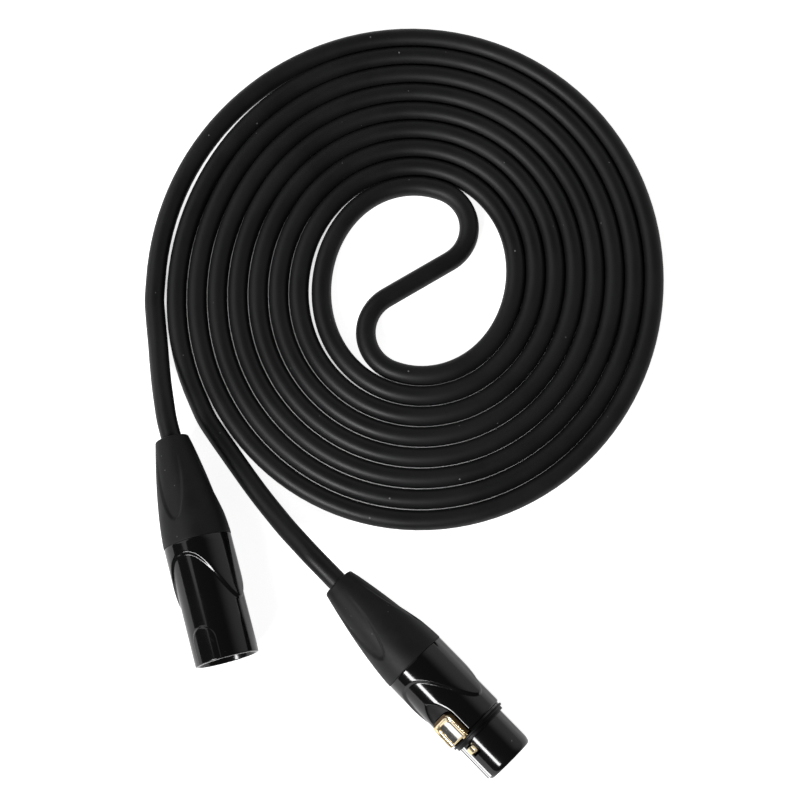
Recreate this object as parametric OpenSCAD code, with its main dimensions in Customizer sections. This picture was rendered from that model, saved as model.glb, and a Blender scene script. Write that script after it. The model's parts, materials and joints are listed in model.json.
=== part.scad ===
// Microphone cable: a male and a female three-pin plug on a lead that lies in a flat double spiral.
// Millimetres. +Z is up, the table is z = 0 and the origin is the middle of the spiral.
// Each plug is drawn along its own +Z from the boot's tip to the mating face, with the latch side at +Y.

/* [Cable] */
// Outside diameter of the cable
cable_d = 6.2; // [5:0.1:7.4]
// Outside diameter of each insulated core
core_d = 1.5; // [1:0.1:1.7]
// Diameter of the twisted shield where it is stripped
shield_d = 1.3; // [1:0.1:1.6]

/* [Coil] */
// Radius of the outer turns, at the steepest place of the spiral
coil_r = 78.3; // [62:0.1:100]
// Gap between neighbouring turns
lay_gap = 0.15; // [0.1:0.05:0.8]
// How far each half turn swings off an even spiral
lay_swing = 2.2; // [0:0.1:2.4]
// How far the outer turns lie to one side of the inner ones
lay_drift = 1; // [0:0.1:1.5]
// Open gap beside the outermost turn, near where the male end leaves it
outer_slack = 0.9; // [0:0.1:1]
// Open gap beside the innermost turn
inner_slack = 0.7; // [0:0.1:1]

/* [Boot] */
// Length of the rubber boot
boot_len = 32.5; // [28:0.5:40]
// Radius of the boot at the cable end
boot_tip_r = 5; // [4.6:0.1:6.5]
// Height of the boot over the mantle where they meet
boot_step = 0.1; // [0.05:0.05:1]
// Depth of the finger scoops at their front end
scoop_depth = 0.8; // [0.3:0.1:1]
// Width of a finger scoop
scoop_w = 8.4; // [5:0.1:9.6]
// Number of finger scoops
scoops = 3; // [1:1:4]

/* [Shell] */
// Radius of the shell's front tube
shell_r = 9.5; // [9.4:0.05:12]
// Height of the mantle over the front tube
mantle_step = 0.65; // [0.3:0.05:1.2]
// Length of the mantle at its side tabs
mantle_len = 19.7; // [14:0.1:22]
// Length of the mantle at its arches
arch_start = 3.8; // [1:0.1:8]
// Length of the male shell
male_shell_len = 36; // [35:0.5:50]
// Length of the female shell
female_shell_len = 24.9; // [24:0.1:34]
// Wall between the shell's seat for the insert and its outside
shell_wall = 1.15; // [1:0.05:1.6]

/* [Connector interface] */
// Radius of the female barrel
barrel_r = 8; // [6.8:0.05:8.1]
// Length of the barrel in front of the ring
barrel_len = 12.1; // [12:0.1:16]
// Radius of a contact pin
pin_r = 1.2; // [0.9:0.05:1.25]
// Distance of the pins from the plug's axis
pin_spread = 3.81; // [3.6:0.01:4.2]
// How far the pin tips lie behind the male mouth
pin_setback = 3.5; // [1:0.1:6]
// Depth of the male mouth
mouth_depth = 14; // [13.2:0.1:15]
// Length of the wider land at the male mouth
lead_len = 3; // [2:0.5:5]

/* [Latch] */
// Width of the latch button
button_w = 8.2; // [6:0.1:8.4]
// Length of the latch button
button_len = 8.4; // [7.8:0.1:9.6]
// How far the button's rim stands out over the front tube
button_rise = 0.8; // [0.4:0.1:1.2]
// Width of the hook
hook_w = 2.6; // [2:0.1:3]
// How far the hook stands out of the barrel
hook_rise = 1.1; // [0.6:0.1:1.2]
// Radius of the latch's pivot pin
pivot_r = 0.8; // [0.5:0.05:0.9]
// Gap between the latch and what it moves in
latch_play = 0.25; // [0.15:0.05:0.4]

/* [Fits] */
// Gap between pieces that are put together by hand
fit_gap = 0.05; // [0.02:0.01:0.08]
// Gap between a pin and the hole that turns on it
running_gap = 0.04; // [0.02:0.01:0.08]

/* [Hidden] */
$fn = 64;
over = 1;                        // how far a cutter runs past what it cuts

// Colours
rubber_black = [0.15, 0.15, 0.16];
gloss_black = [0.07, 0.07, 0.08];
pvc_black = [0.12, 0.12, 0.13];
pale_gold = [0.86, 0.75, 0.52];
bright_metal = [0.78, 0.78, 0.76];
moulded_grey = [0.35, 0.36, 0.38];

// Rear of both plugs, from the boot's tip
seam = boot_len;                 // where the boot meets the shell
tip_round = 0.8;
boot_bow = 1.5;                  // how much the boot's outline bows, 1 is a straight cone
boot_turn = 4.5;                 // how far the boots are screwed past the latch side
scoop_from = 3;                  // where the scoops start to sink in
scoop_to = boot_len - 6.5;       // round front of the scoops
scoop_widest = 0.35;             // where along a scoop it is widest
scoop_start = 0.9;               // share of its width that a scoop starts with
mantle_r = shell_r + mantle_step;
boot_r = mantle_r + boot_step;   // boot's radius at the seam
seat_r = shell_r - shell_wall;   // shell's bore round the insert's body
thread_r = seat_r + 0.3;         // shell's bore round the gland nut
thread_len = 9;
nut_tail_r = thread_r - 0.65;    // the nut's tail inside the boot
nut_tail_len = 7.5;
nut_wall = 1.3;
nut_lip = 1.5;                   // the nut's rear end, behind its closing cone
thread_pitch = 1.5;
groove_w = 0.6;
groove_depth = 0.45;
cone_len = nut_tail_len - nut_lip;
cone_tip_r = cable_d / 2 + 1.3;  // closing cone's narrow end
cone_wide_r = thread_r - nut_wall;
chuck_low = seam - cone_len + fit_gap;
chuck_flange_low = seam + thread_len;
chuck_flange_t = 1.2;
chuck_throat_low = seam + 4;
slit_w = 0.8;
slit_len = 8;
insert_rear = seam + 15;         // solder side of both inserts
cup_len = 5.5;                   // solder cups behind the inserts
cup_bore = 3.5;
cup_r = pin_r + 0.3;
jacket_end = seam + 6.5;         // where the cable's jacket is stripped
chuck_skirt_wall = 1.1;
contact_w = 3;                   // ground contact's strip
contact_t = 0.3;
contact_len = 5;
contact_foot = 3.4;
contact_turn = 135;              // degrees from the latch side

// Shell outline
arch_bow = 2.75;                 // how sharply an arch turns forward at the mantle's sides

// Male front
male_len = boot_len + male_shell_len;
hook_len = 2.5;
mouth_r = barrel_r + 0.15;
lead_r = mouth_r + 0.25;
insert_face = male_len - mouth_depth;
insert_nose = 1;                 // front of the insert inside the mouth bore
hook_setback = 1.1;              // from the ring or the mouth to the hook's rear face
catch_play = 0.3;
catch_w = hook_w + 2 * catch_play;
catch_pad_w = 7.8;
catch_pad_len = 10.3;
catch_pad_rise = 0.35;

// Female front
ring_len = 2.3;                  // from the shell's front to the ring's front
ring_gap = 0.6;                  // between the shell's front and the ring
ring_lip = 0.7;
ring_rise = 0.15;                // the lip's height over the front tube
ring_fall = 0.25;                // the rest of the ring under the front tube
ring_seat = 0.2;                 // depth of the groove in the barrel that holds the ring
shell_front = boot_len + female_shell_len;
ring_front = shell_front + ring_len;
female_len = ring_front + barrel_len;
ring_rear = shell_front + ring_gap;
barrel_chamfer = 0.6;
key_w = 1.4;                     // rib along the barrel
key_rise = 0.7;
key_turn = 25;                   // degrees from the latch side
key_play = 0.15;                 // between the rib and its channel in the male mouth
socket_r = pin_r + 0.7;
socket_front = female_len - 1;
socket_bore_r = pin_r + 0.03;
socket_bore_len = 11.5;
pin_pos = [[-pin_spread, 0], [pin_spread, 0], [0, -pin_spread]];

// Latch, in the plug's Y (up) and Z (forward)
pivot_y = 5.4;
pivot_z = shell_front - 8;
boss_r = pivot_r + 0.7;
hook_rear = ring_front + hook_setback;
hook_play = 0.6;                 // between the hook and its window, along the plug
arm_low = pivot_y - 0.2;
arm_high = pivot_y + 1.4;
button_low = pivot_y + 0.6;
button_top = shell_r + button_rise;
button_front = shell_front + 0.05;
button_rear = button_front - button_len;
button_slope = 1.5;              // slanted rear end of the button
rim_w = 0.8;
rim_depth = 0.55;
pocket_floor = pivot_y - boss_r - latch_play;
latch_travel = 6;                // degrees
channel_floor = arm_low - (hook_rear + hook_len - pivot_z) * sin(latch_travel) - 0.5;
recess_depth = 0.55;             // sunk field round the button
recess_rear = button_rear - 5.1;
nose_len = 6.2;                  // the field's rear, where it narrows to a nose
nose_bow = 0.65;                 // below 1 the nose is blunter
flat_hook = 1.9;                 // level top of the hook
ear_half = button_w / 2 + latch_play + 0.9; // half the length of the pivot pin
spring_t = 0.3;
spring_w = 2;

// Where the plugs lie on the table
plug_z = max(boot_r, mantle_r);
male_heading = -74.4;
female_heading = -45.6;
male_roll = 29;
female_roll = 46;

// The lead: spiral in, bend through the middle, spiral out again
sides = 8;
step = 15;                       // degrees between rings, 24 rings per turn
cable_r = cable_d / 2;
cable_z = cable_r * cos(180 / sides);
pitch = cable_d + lay_gap;
steepest = 140;                  // degrees along the spiral where it closes in fastest
male_in = 0;                     // where the male arm of the spiral starts
female_in = 150;                 // where the female arm starts
hook_in = 1545;                  // where both arms leave the spiral for the centre bend
bend_share = 0.43;               // centre bend's radius over the innermost radius
swing_kept = 0.8;                // share of the swing left at the innermost turn
drift_turn = 202;                // direction of the outer turns' drift
outer_gap_turn = 154;            // direction of the open gap beside the outermost turn
outer_gap_share = 0.35;          // share of it that the outermost turn makes, by bowing out
outer_gap_end = 116;             // where the male arm has left that gap
inner_gap_at = 1440;             // middle of the open gap beside the innermost turn
inner_gap_half = 85;

// Share of the way from the innermost turn's end out to the outer turns
function outward(t) = 1 - t / hook_in;
function swing(t) = lay_swing * (swing_kept + (1 - swing_kept) * outward(t));
function spiral_r(t) = coil_r - pitch * (t - steepest) / 180 - swing(t) * sin(2 * (t - steepest));

// Open gaps: a bow round one direction, and a stretch of the innermost turn
function bow(turn) = pow(max(0, cos(turn - outer_gap_turn)), 8);
function bow_out(t) = t < outer_gap_end ? outer_gap_share : (outer_gap_share - 1) * outward(t);
function draw_in(t) = pow(cos(90 * min(1, abs(t - inner_gap_at) / inner_gap_half)), 2);

// The two arms of the spiral, the male one clockwise from -X and the female one from +X
drift = lay_drift * [cos(drift_turn), sin(drift_turn)];
function male_arm_r(t) = spiral_r(t) + outer_slack * bow(180 - t) * bow_out(t) - inner_slack * draw_in(t);
function female_arm_r(t) = spiral_r(t) + outer_slack * bow(-t) * bow_out(t);
function male_arm(t) = male_arm_r(t) * [-cos(t), sin(t)] + outward(t) * drift;
function female_arm(t) = female_arm_r(t) * [cos(t), -sin(t)] + outward(t) * drift;
function unit(v) = v / norm(v);
function right_of(v) = [v[1], -v[0]];
function male_way(t) = unit(male_arm(t + 0.01) - male_arm(t - 0.01));
function female_way(t) = unit(female_arm(t + 0.01) - female_arm(t - 0.01));

// Centre bend: an arc off the spiral's end that turns on to a line through the origin
bend_from = male_arm(hook_in);
bend_r = bend_share * norm(bend_from);
bend_mid = bend_from + bend_r * right_of(male_way(hook_in));
bend_first = atan2(bend_from[1] - bend_mid[1], bend_from[0] - bend_mid[0]);
mid_turn = atan2(bend_mid[1], bend_mid[0]);
line_turn = mid_turn - asin(bend_r / norm(bend_mid));
bend_last = line_turn - 90;
bend_rings = floor((bend_first - bend_last) / step);
bend_arc = [
    for (i = [1:bend_rings])
        let (a = bend_first + (bend_last - bend_first) * i / bend_rings)
        bend_mid + bend_r * [cos(a), sin(a)]
];

male_turns = [for (t = [male_in:step:hook_in]) male_arm(t)];
female_turns = [for (t = [female_in:step:hook_in]) female_arm(t)];
male_start = male_arm(male_in) - cable_d * male_way(male_in);
female_start = female_arm(female_in) - cable_d * female_way(female_in);
function reversed(list) = [for (i = [len(list) - 1:-1:0]) list[i]];
coil_plan = concat(
    [male_start], male_turns, bend_arc, [[0, 0]],
    reversed([for (p = bend_arc) -p]), reversed(female_turns), [female_start]
);
coil_route = [for (p = coil_plan) [p[0], p[1], cable_z]];

// Free stretches, as steps from the coil's end: x, y and the share of the climb to the plug's axis
male_steps = [
    [0.4, -4.5, 0], [1, -9.5, 0.03], [1.7, -14.5, 0.1], [2.4, -19.5, 0.27], [3.2, -24.5, 0.5],
    [4.1, -29.5, 0.74], [5.1, -34.5, 0.94]
];
male_reach = [7.8, -45.8];
female_steps = [
    [3.3, -5, 0], [6.7, -9.8, 0], [10.2, -14.7, 0], [13.8, -19.7, 0], [17.5, -24.6, 0.03],
    [21.4, -29.5, 0.15], [25.3, -34.3, 0.4], [29.2, -38.7, 0.7], [33, -42.9, 0.94]
];
female_reach = [41.1, -51.2];
function rise(share) = cable_z + share * (plug_z - cable_z);
male_at = male_start + male_reach;
female_at = female_start + female_reach;

// A free stretch: from the coil's end over its steps to one straight diameter in front of the boot
function stretch(start, steps, at, heading) = concat(
    [[start[0], start[1], cable_z]],
    [for (p = steps) [start[0] + p[0], start[1] + p[1], rise(p[2])]],
    [for (back = [cable_d, 0]) [at[0] - back * cos(heading), at[1] - back * sin(heading), plug_z]]
);
male_route = stretch(male_start, male_steps, male_at, male_heading);
female_route = stretch(female_start, female_steps, female_at, female_heading);

// Length of the whole lead, with what is inside the plugs
function sum(list) = list * [for (x = list) 1];
function route_len(route) = sum([for (i = [1:len(route) - 1]) norm(route[i] - route[i - 1])]);
whole_len = route_len(coil_route) + route_len(male_route) + route_len(female_route) + 2 * jacket_end;

// ---- Swept tubes ----

function tangent(route, i, first, last) =
    i == 0 && !is_undef(first) ? first :
    i == len(route) - 1 && !is_undef(last) ? last :
    unit(route[min(i + 1, len(route) - 1)] - route[max(i - 1, 0)]);

function ring(centre, along, r, n) =
    let (side = unit(cross(along, [0, 0, 1])), up = cross(side, along))
    [for (k = [0:n - 1]) let (a = (k + 0.5) * 360 / n) centre + r * (cos(a) * side + sin(a) * up)];

function tube_points(route, r, n, first, last) = [
    for (i = [0:len(route) - 1]) each ring(route[i], tangent(route, i, first, last), r, n)
];

module tube(route, r, n, first, last) {
    count = len(route);
    walls = [
        for (i = [0:count - 2], k = [0:n - 1])
            let (a = i * n + k, b = i * n + (k + 1) % n)
            each [[a, b, b + n], [a, b + n, a + n]]
    ];
    start_cap = [for (k = [1:n - 2]) [0, k + 1, k]];
    end_cap = [for (k = [1:n - 2]) [(count - 1) * n, (count - 1) * n + k, (count - 1) * n + k + 1]];
    polyhedron(points = tube_points(route, r, n, first, last), faces = concat(walls, start_cap, end_cap));
}

// ---- Placing ----

module along_plug(at, heading, roll) {
    translate([at[0], at[1], plug_z])
        rotate([roll, 0, heading])
            rotate([90, 0, 90])
                children();
}

module male() { along_plug(male_at, male_heading, male_roll) children(); }

module female() { along_plug(female_at, female_heading, female_roll) children(); }

// A ring from z = low to z = high
module collar(low, high, outer, inner) {
    difference() {
        translate([0, 0, low]) cylinder(r = outer, h = high - low);
        translate([0, 0, low - over]) cylinder(r = inner, h = high - low + 2 * over);
    }
}

// ---- Rear of both plugs ----

function boot_profile(z) = boot_r - (boot_r - boot_tip_r) * pow(1 - z / boot_len, boot_bow);

// Half the width of a scoop at u = 0 (its shallow start, near the cable) to u = 1 (its round front)
function scoop_half(u) =
    u < scoop_widest ? scoop_w / 2 * (scoop_start + (1 - scoop_start) * u / scoop_widest)
    : scoop_w / 2 * sqrt(max(0, 1 - pow((u - scoop_widest) / (1 - scoop_widest), 2)));

module scoop_outline() {
    n = 24;
    polygon([
        for (side = [1, -1], i = [0:n])
            let (u = side > 0 ? i / n : 1 - i / n)
            [side * scoop_half(u), scoop_from + u * (scoop_to - scoop_from)]
    ]);
}

function scoop_share(z) = min(1, max(0, (z - scoop_from) / (scoop_to - scoop_from)));

// The boot's outside, drawn in by a depth that grows from the start of a scoop to its front
module boot_solid(depth) {
    n = 14;
    rotate_extrude()
        polygon(concat(
            [[0, -over]],
            [for (i = [0:n])
                let (z = i * boot_len / n)
                [boot_profile(z) - depth * scoop_share(z), i == 0 ? -over * sign(depth) : z]],
            [[0, boot_len + over * sign(depth)]]
        ));
}

module boot() {
    round_out = boot_profile(tip_round);
    color(rubber_black)
        difference() {
            boot_solid(0);
            for (i = [0:scoops - 1])
                rotate(180 - boot_turn + i * 360 / scoops)
                    difference() {
                        rotate([90, 0, 0])
                            linear_extrude(boot_r + over)
                                scoop_outline();
                        boot_solid(scoop_depth);
                    }
            // the boot's tip is rounded over
            rotate_extrude()
                difference() {
                    translate([round_out - tip_round, -over]) square([over + tip_round, tip_round + over]);
                    translate([round_out - tip_round, tip_round]) circle(r = tip_round, $fn = 24);
                }
            translate([0, 0, -over]) cylinder(d = cable_d + 2 * fit_gap, h = boot_len + 2 * over);
            translate([0, 0, boot_len - nut_tail_len - fit_gap])
                cylinder(r = nut_tail_r + fit_gap, h = nut_tail_len + over);
        }
}

module gland_nut() {
    color(moulded_grey)
        difference() {
            union() {
                translate([0, 0, seam - nut_tail_len]) cylinder(r = nut_tail_r, h = nut_tail_len);
                translate([0, 0, seam]) cylinder(r = thread_r - fit_gap, h = thread_len - fit_gap);
            }
            // cable hole, closing cone for the chuck, then its straight bore
            translate([0, 0, seam - nut_tail_len - over])
                cylinder(r = cable_r + 0.4, h = nut_tail_len + over);
            translate([0, 0, seam - cone_len]) cylinder(r1 = cone_tip_r, r2 = cone_wide_r, h = cone_len);
            translate([0, 0, seam - 0.01]) cylinder(r = cone_wide_r, h = thread_len + over);
            // thread relief grooves
            for (z = [seam + thread_pitch:thread_pitch:seam + thread_len - thread_pitch])
                translate([0, 0, z]) collar(0, groove_w, thread_r + over, thread_r - groove_depth);
        }
}

module chuck() {
    bore_r = cable_r + fit_gap;
    skirt_r = seat_r - fit_gap;
    color(moulded_grey)
        difference() {
            union() {
                translate([0, 0, chuck_low])
                    cylinder(r1 = cone_tip_r - fit_gap, r2 = cone_wide_r - fit_gap, h = cone_len);
                translate([0, 0, chuck_low + cone_len])
                    cylinder(r = cone_wide_r - 2 * fit_gap, h = chuck_flange_low - chuck_low - cone_len);
                translate([0, 0, chuck_flange_low]) cylinder(r = skirt_r, h = insert_rear - chuck_flange_low);
            }
            translate([0, 0, chuck_low - over])
                cylinder(r = bore_r, h = chuck_throat_low - chuck_low + 2 * over);
            translate([0, 0, chuck_throat_low])
                cylinder(r = cone_wide_r - 2 * fit_gap - chuck_skirt_wall, h = insert_rear - seam);
            translate([0, 0, chuck_flange_low + chuck_flange_t])
                cylinder(r = skirt_r - chuck_skirt_wall, h = insert_rear - chuck_flange_low);
            // slits that let the chuck close on the cable
            for (turn = [0:60:120])
                rotate(turn)
                    translate([-slit_w / 2, -boot_r, chuck_low - over])
                        cube([slit_w, 2 * boot_r, slit_len + over]);
        }
}

// Jacketed cable from the boot's tip to where it is stripped
module cable_end() {
    color(pvc_black) cylinder(r = cable_r, h = jacket_end);
}

// A core from the stripped end to a solder cup, drawn as a tube in the plug's own frame
module core(from, to, d, tint) {
    cup = insert_rear - cup_len;
    room = cup - jacket_end;
    color(tint)
        core_tube(
            [[from[0], from[1], jacket_end], [from[0], from[1], jacket_end + 0.2 * room],
             [to[0], to[1], cup - 0.1 * room], [to[0], to[1], cup + 3]],
            d / 2, 8
        );
}

// A tube whose route runs mostly along +Z, with level end faces
module core_tube(route, r, n) {
    for (i = [0:len(route) - 2]) {
        a = route[i];
        b = route[i + 1];
        hull() {
            translate(a) cylinder(r = r, h = 0.01, $fn = n);
            translate(b - [0, 0, 0.01]) cylinder(r = r, h = 0.01, $fn = n);
        }
    }
}

// Solder cup behind an insert, open to the rear
module solder_cup() {
    difference() {
        translate([0, 0, insert_rear - cup_len]) cylinder(r = cup_r, h = cup_len + over, $fn = 32);
        translate([0, 0, insert_rear - cup_len - over])
            cylinder(r = core_d / 2 + fit_gap, h = cup_bore + over, $fn = 32);
    }
}

// Spring strip that joins the shell to the shield: an arm along the shell's bore and a foot on the insert
module ground_contact() {
    arm_y = sqrt(pow(seat_r, 2) - pow(contact_w / 2, 2)) - 0.02;
    color(bright_metal)
        rotate(contact_turn)
            translate([-contact_w / 2, 0, insert_rear]) {
                translate([0, arm_y - contact_t, 0]) cube([contact_w, contact_t, contact_len]);
                translate([0, arm_y - contact_foot, 0]) cube([contact_w, contact_foot, contact_t]);
            }
}

// Slot in an insert's rear for the ground contact
module ground_slot() {
    rotate(contact_turn)
        translate([-contact_w / 2 - fit_gap, seat_r - contact_foot - 0.3, insert_rear - over])
            cube([contact_w + 2 * fit_gap, contact_foot + over, contact_len + fit_gap + over]);
}

// ---- Shell ----

// Outline of the mantle's arch seen from the latch side: a bow that opens towards the front
module arch_outline(low, high) {
    half = mantle_r;
    side = half + over;
    far = high + mantle_len;
    polygon(concat(
        [for (i = [-12:12]) let (u = i / 12) [half * u, low + (high - low) * pow(abs(u), arch_bow)]],
        [[side, high], [side, far], [-side, far], [-side, high]]
    ));
}

module mantle() {
    edge = 0.35;
    difference() {
        translate([0, 0, seam])
            rotate_extrude()
                polygon([
                    [0, 0], [mantle_r - edge / 2, 0], [mantle_r, edge / 2], [mantle_r, mantle_len - edge],
                    [mantle_r - edge, mantle_len], [0, mantle_len]
                ]);
        difference() {
            translate([0, mantle_r + over, 0])
                rotate([90, 0, 0])
                    linear_extrude(2 * (mantle_r + over))
                        arch_outline(seam + arch_start, seam + mantle_len);
            translate([0, 0, seam - over]) cylinder(r = shell_r, h = mantle_len + 2 * over);
        }
    }
}

module shell_tube(length) {
    edge = 0.35;
    translate([0, 0, seam])
        rotate_extrude()
            polygon([[0, 0], [shell_r, 0], [shell_r, length - edge], [shell_r - edge, length], [0, length]]);
}

// Bores for the gland nut and for the insert, up to the ledge that the insert is pushed against
module shell_bores(ledge) {
    translate([0, 0, seam - over]) cylinder(r = thread_r, h = thread_len + over);
    translate([0, 0, seam]) cylinder(r = seat_r, h = ledge - seam);
}

// ---- Male plug ----

module catch_pad_outline() {
    translate([0, male_len - catch_pad_len + catch_pad_w / 2]) circle(d = catch_pad_w);
    translate([-catch_pad_w / 2, male_len - catch_pad_len + catch_pad_w / 2])
        square([catch_pad_w, catch_pad_len - catch_pad_w / 2 - 0.3]);
}

module male_shell() {
    color(gloss_black)
        male()
            difference() {
                union() {
                    shell_tube(male_shell_len);
                    mantle();
                    // raised pad over the catch for the mating latch
                    intersection() {
                        towards_latch(mantle_r + over) catch_pad_outline();
                        cylinder(r = shell_r + catch_pad_rise, h = male_len + over);
                    }
                }
                shell_bores(insert_face - insert_nose);
                translate([0, 0, seam]) cylinder(r = mouth_r, h = male_shell_len + over);
                translate([0, 0, male_len - lead_len]) cylinder(r = lead_r, h = lead_len + over);
                // catch for the mating latch's hook
                translate([-catch_w / 2, 0, male_len - hook_setback - hook_len - catch_play])
                    cube([catch_w, mouth_r + hook_rise, hook_len + 2 * catch_play]);
                // channel for the mating barrel's rib
                rotate(-key_turn)
                    translate([-key_w / 2 - key_play, 0, insert_face])
                        cube([key_w + 2 * key_play, barrel_r + key_rise + key_play, mouth_depth + over]);
            }
}

module male_insert() {
    body_len = insert_face - insert_nose - insert_rear;
    color(moulded_grey)
        male()
            difference() {
                union() {
                    translate([0, 0, insert_rear])
                        cylinder(r = seat_r - fit_gap, h = body_len);
                    translate([0, 0, insert_rear])
                        cylinder(r = mouth_r - fit_gap, h = body_len + insert_nose);
                }
                for (p = pin_pos)
                    translate([p[0], p[1], insert_rear - over])
                        cylinder(r = cup_r + fit_gap, h = insert_face - insert_rear + 2 * over, $fn = 32);
                ground_slot();
            }
}

module contact_pin(i) {
    tip = male_len - pin_setback;
    round_r = 0.7;
    color(bright_metal)
        male()
            translate([pin_pos[i][0], pin_pos[i][1], 0]) {
                solder_cup();
                translate([0, 0, insert_rear + over])
                    cylinder(r = cup_r, h = insert_face - insert_rear - over, $fn = 32);
                rotate_extrude($fn = 48)
                    polygon(concat(
                        [[0, insert_face], [pin_r, insert_face]],
                        [for (a = [0:15:90])
                            [pin_r - round_r + round_r * cos(a), tip - round_r + round_r * sin(a)]],
                        [[0, tip]]
                    ));
            }
}

module male_pin_1() { contact_pin(0); }

module male_pin_2() { contact_pin(1); }

module male_pin_3() { contact_pin(2); }

module male_ground_contact() { male() ground_contact(); }

module male_chuck() { male() chuck(); }

module male_gland_nut() { male() gland_nut(); }

module male_boot() { male() boot(); }

module male_cable_end() { male() cable_end(); }

core_starts = [[-1.3, 0.6], [1.3, 0.6], [0, -1.5]];

module male_core_hot() { male() core(core_starts[1], pin_pos[1], core_d, "red"); }

module male_core_cold() { male() core(core_starts[2], pin_pos[2], core_d, "white"); }

module male_shield_tail() { male() core(core_starts[0], pin_pos[0], shield_d, bright_metal); }

// ---- Female plug ----

// Outline of the sunk field round the button: as wide as the button's window, with a nose at the rear
module recess_outline() {
    wide = button_w / 2 + latch_play;
    n = 12;
    polygon(concat(
        [[wide, shell_front + over]],
        [for (i = [-n:n])
            let (u = 1 - abs(i) / n, far = 1 - u)
            [-sign(i) * wide * sin(90 * pow(far, nose_bow)), recess_rear + nose_len * far]],
        [[-wide, shell_front + over]]
    ));
}

// Outline of the button, or of its window with a gap: round at the rear and square at the front
module button_outline(gap, front) {
    half = button_w / 2 + gap;
    corner = 2.2 + gap;
    rear = button_rear - gap;
    for (side = [-1, 1])
        translate([side * (half - corner), rear + corner]) circle(r = corner);
    translate([-half, rear + corner]) square([2 * half, front - rear - corner]);
    translate([-half + corner, rear]) square([2 * (half - corner), corner + 1]);
}

// Raises an outline in the plug's X and Z to a prism that stands on the axis and points at the latch side
module towards_latch(height) {
    rotate([-90, 0, 0])
        mirror([0, 1, 0])
            linear_extrude(height)
                children();
}

module female_shell() {
    color(gloss_black)
        female()
            difference() {
                union() {
                    shell_tube(female_shell_len);
                    mantle();
                }
                shell_bores(shell_front + over);
                towards_latch(mantle_r + over) button_outline(latch_play, shell_front + over);
                // sunk field round the button
                difference() {
                    towards_latch(mantle_r + over) recess_outline();
                    cylinder(r = shell_r - recess_depth, h = female_len);
                }
            }
}

module female_ring() {
    bore_r = barrel_r - ring_seat + fit_gap;
    color(rubber_black)
        female()
            union() {
                collar(ring_rear, ring_front, shell_r - ring_fall, bore_r);
                collar(ring_rear, ring_rear + ring_lip, shell_r + ring_rise, bore_r);
            }
}

module female_insert() {
    channel_half = hook_w / 2 + latch_play;
    pocket_half = button_w / 2 + latch_play;
    window_low = hook_rear - hook_play;
    window_high = hook_rear + hook_len + hook_play;
    channel_rear = insert_rear + 2;
    channel_high = arm_high + latch_play;
    groove_r = barrel_r - ring_seat;
    groove_end = ring_front + fit_gap - shell_front + over;
    front = female_len - shell_front + over;
    color(gloss_black)
        female()
            difference() {
                union() {
                    translate([0, 0, insert_rear])
                        cylinder(r = seat_r - fit_gap, h = shell_front - insert_rear - fit_gap);
                    translate([0, 0, shell_front - over])
                        rotate_extrude()
                            polygon([
                                [0, 0], [groove_r, 0], [groove_r, groove_end], [barrel_r, groove_end],
                                [barrel_r, front - barrel_chamfer], [barrel_r - barrel_chamfer, front],
                                [0, front]
                            ]);
                    // rib along the barrel
                    rotate(key_turn)
                        translate([-key_w / 2, barrel_r - over, ring_front + fit_gap])
                            cube([key_w, key_rise + over, barrel_len - fit_gap - barrel_chamfer]);
                }
                // contact holes, narrower at the face
                for (p = pin_pos)
                    translate([p[0], p[1], 0]) {
                        translate([0, 0, insert_rear - over])
                            cylinder(r = socket_r + fit_gap, h = socket_front - insert_rear + over, $fn = 32);
                        translate([0, 0, insert_rear]) cylinder(r = pin_r + 0.35, h = female_len, $fn = 32);
                    }
                // pocket under the button, channel under the arm and window round the hook
                translate([-pocket_half, pocket_floor, insert_rear - over])
                    cube([2 * pocket_half, barrel_r + over, ring_rear - insert_rear + over]);
                translate([-channel_half, channel_floor, channel_rear])
                    cube([2 * channel_half, channel_high - channel_floor, window_high - channel_rear]);
                translate([-channel_half, channel_floor, window_low])
                    cube([2 * channel_half, barrel_r + over, window_high - window_low]);
                // holes for the latch's pivot pin
                translate([-ear_half - fit_gap, pivot_y, pivot_z])
                    rotate([0, 90, 0])
                        cylinder(r = pivot_r + fit_gap / 2, h = 2 * (ear_half + fit_gap), $fn = 32);
                ground_slot();
            }
}

module contact_socket(i) {
    front = socket_front - fit_gap;
    color(bright_metal)
        female()
            translate([pin_pos[i][0], pin_pos[i][1], 0]) {
                solder_cup();
                difference() {
                    translate([0, 0, insert_rear + over])
                        cylinder(r = socket_r, h = front - insert_rear - over, $fn = 32);
                    translate([0, 0, front - socket_bore_len])
                        cylinder(r = socket_bore_r, h = socket_bore_len + over, $fn = 48);
                }
            }
}

module female_socket_1() { contact_socket(1); }

module female_socket_2() { contact_socket(0); }

module female_socket_3() { contact_socket(2); }

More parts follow.
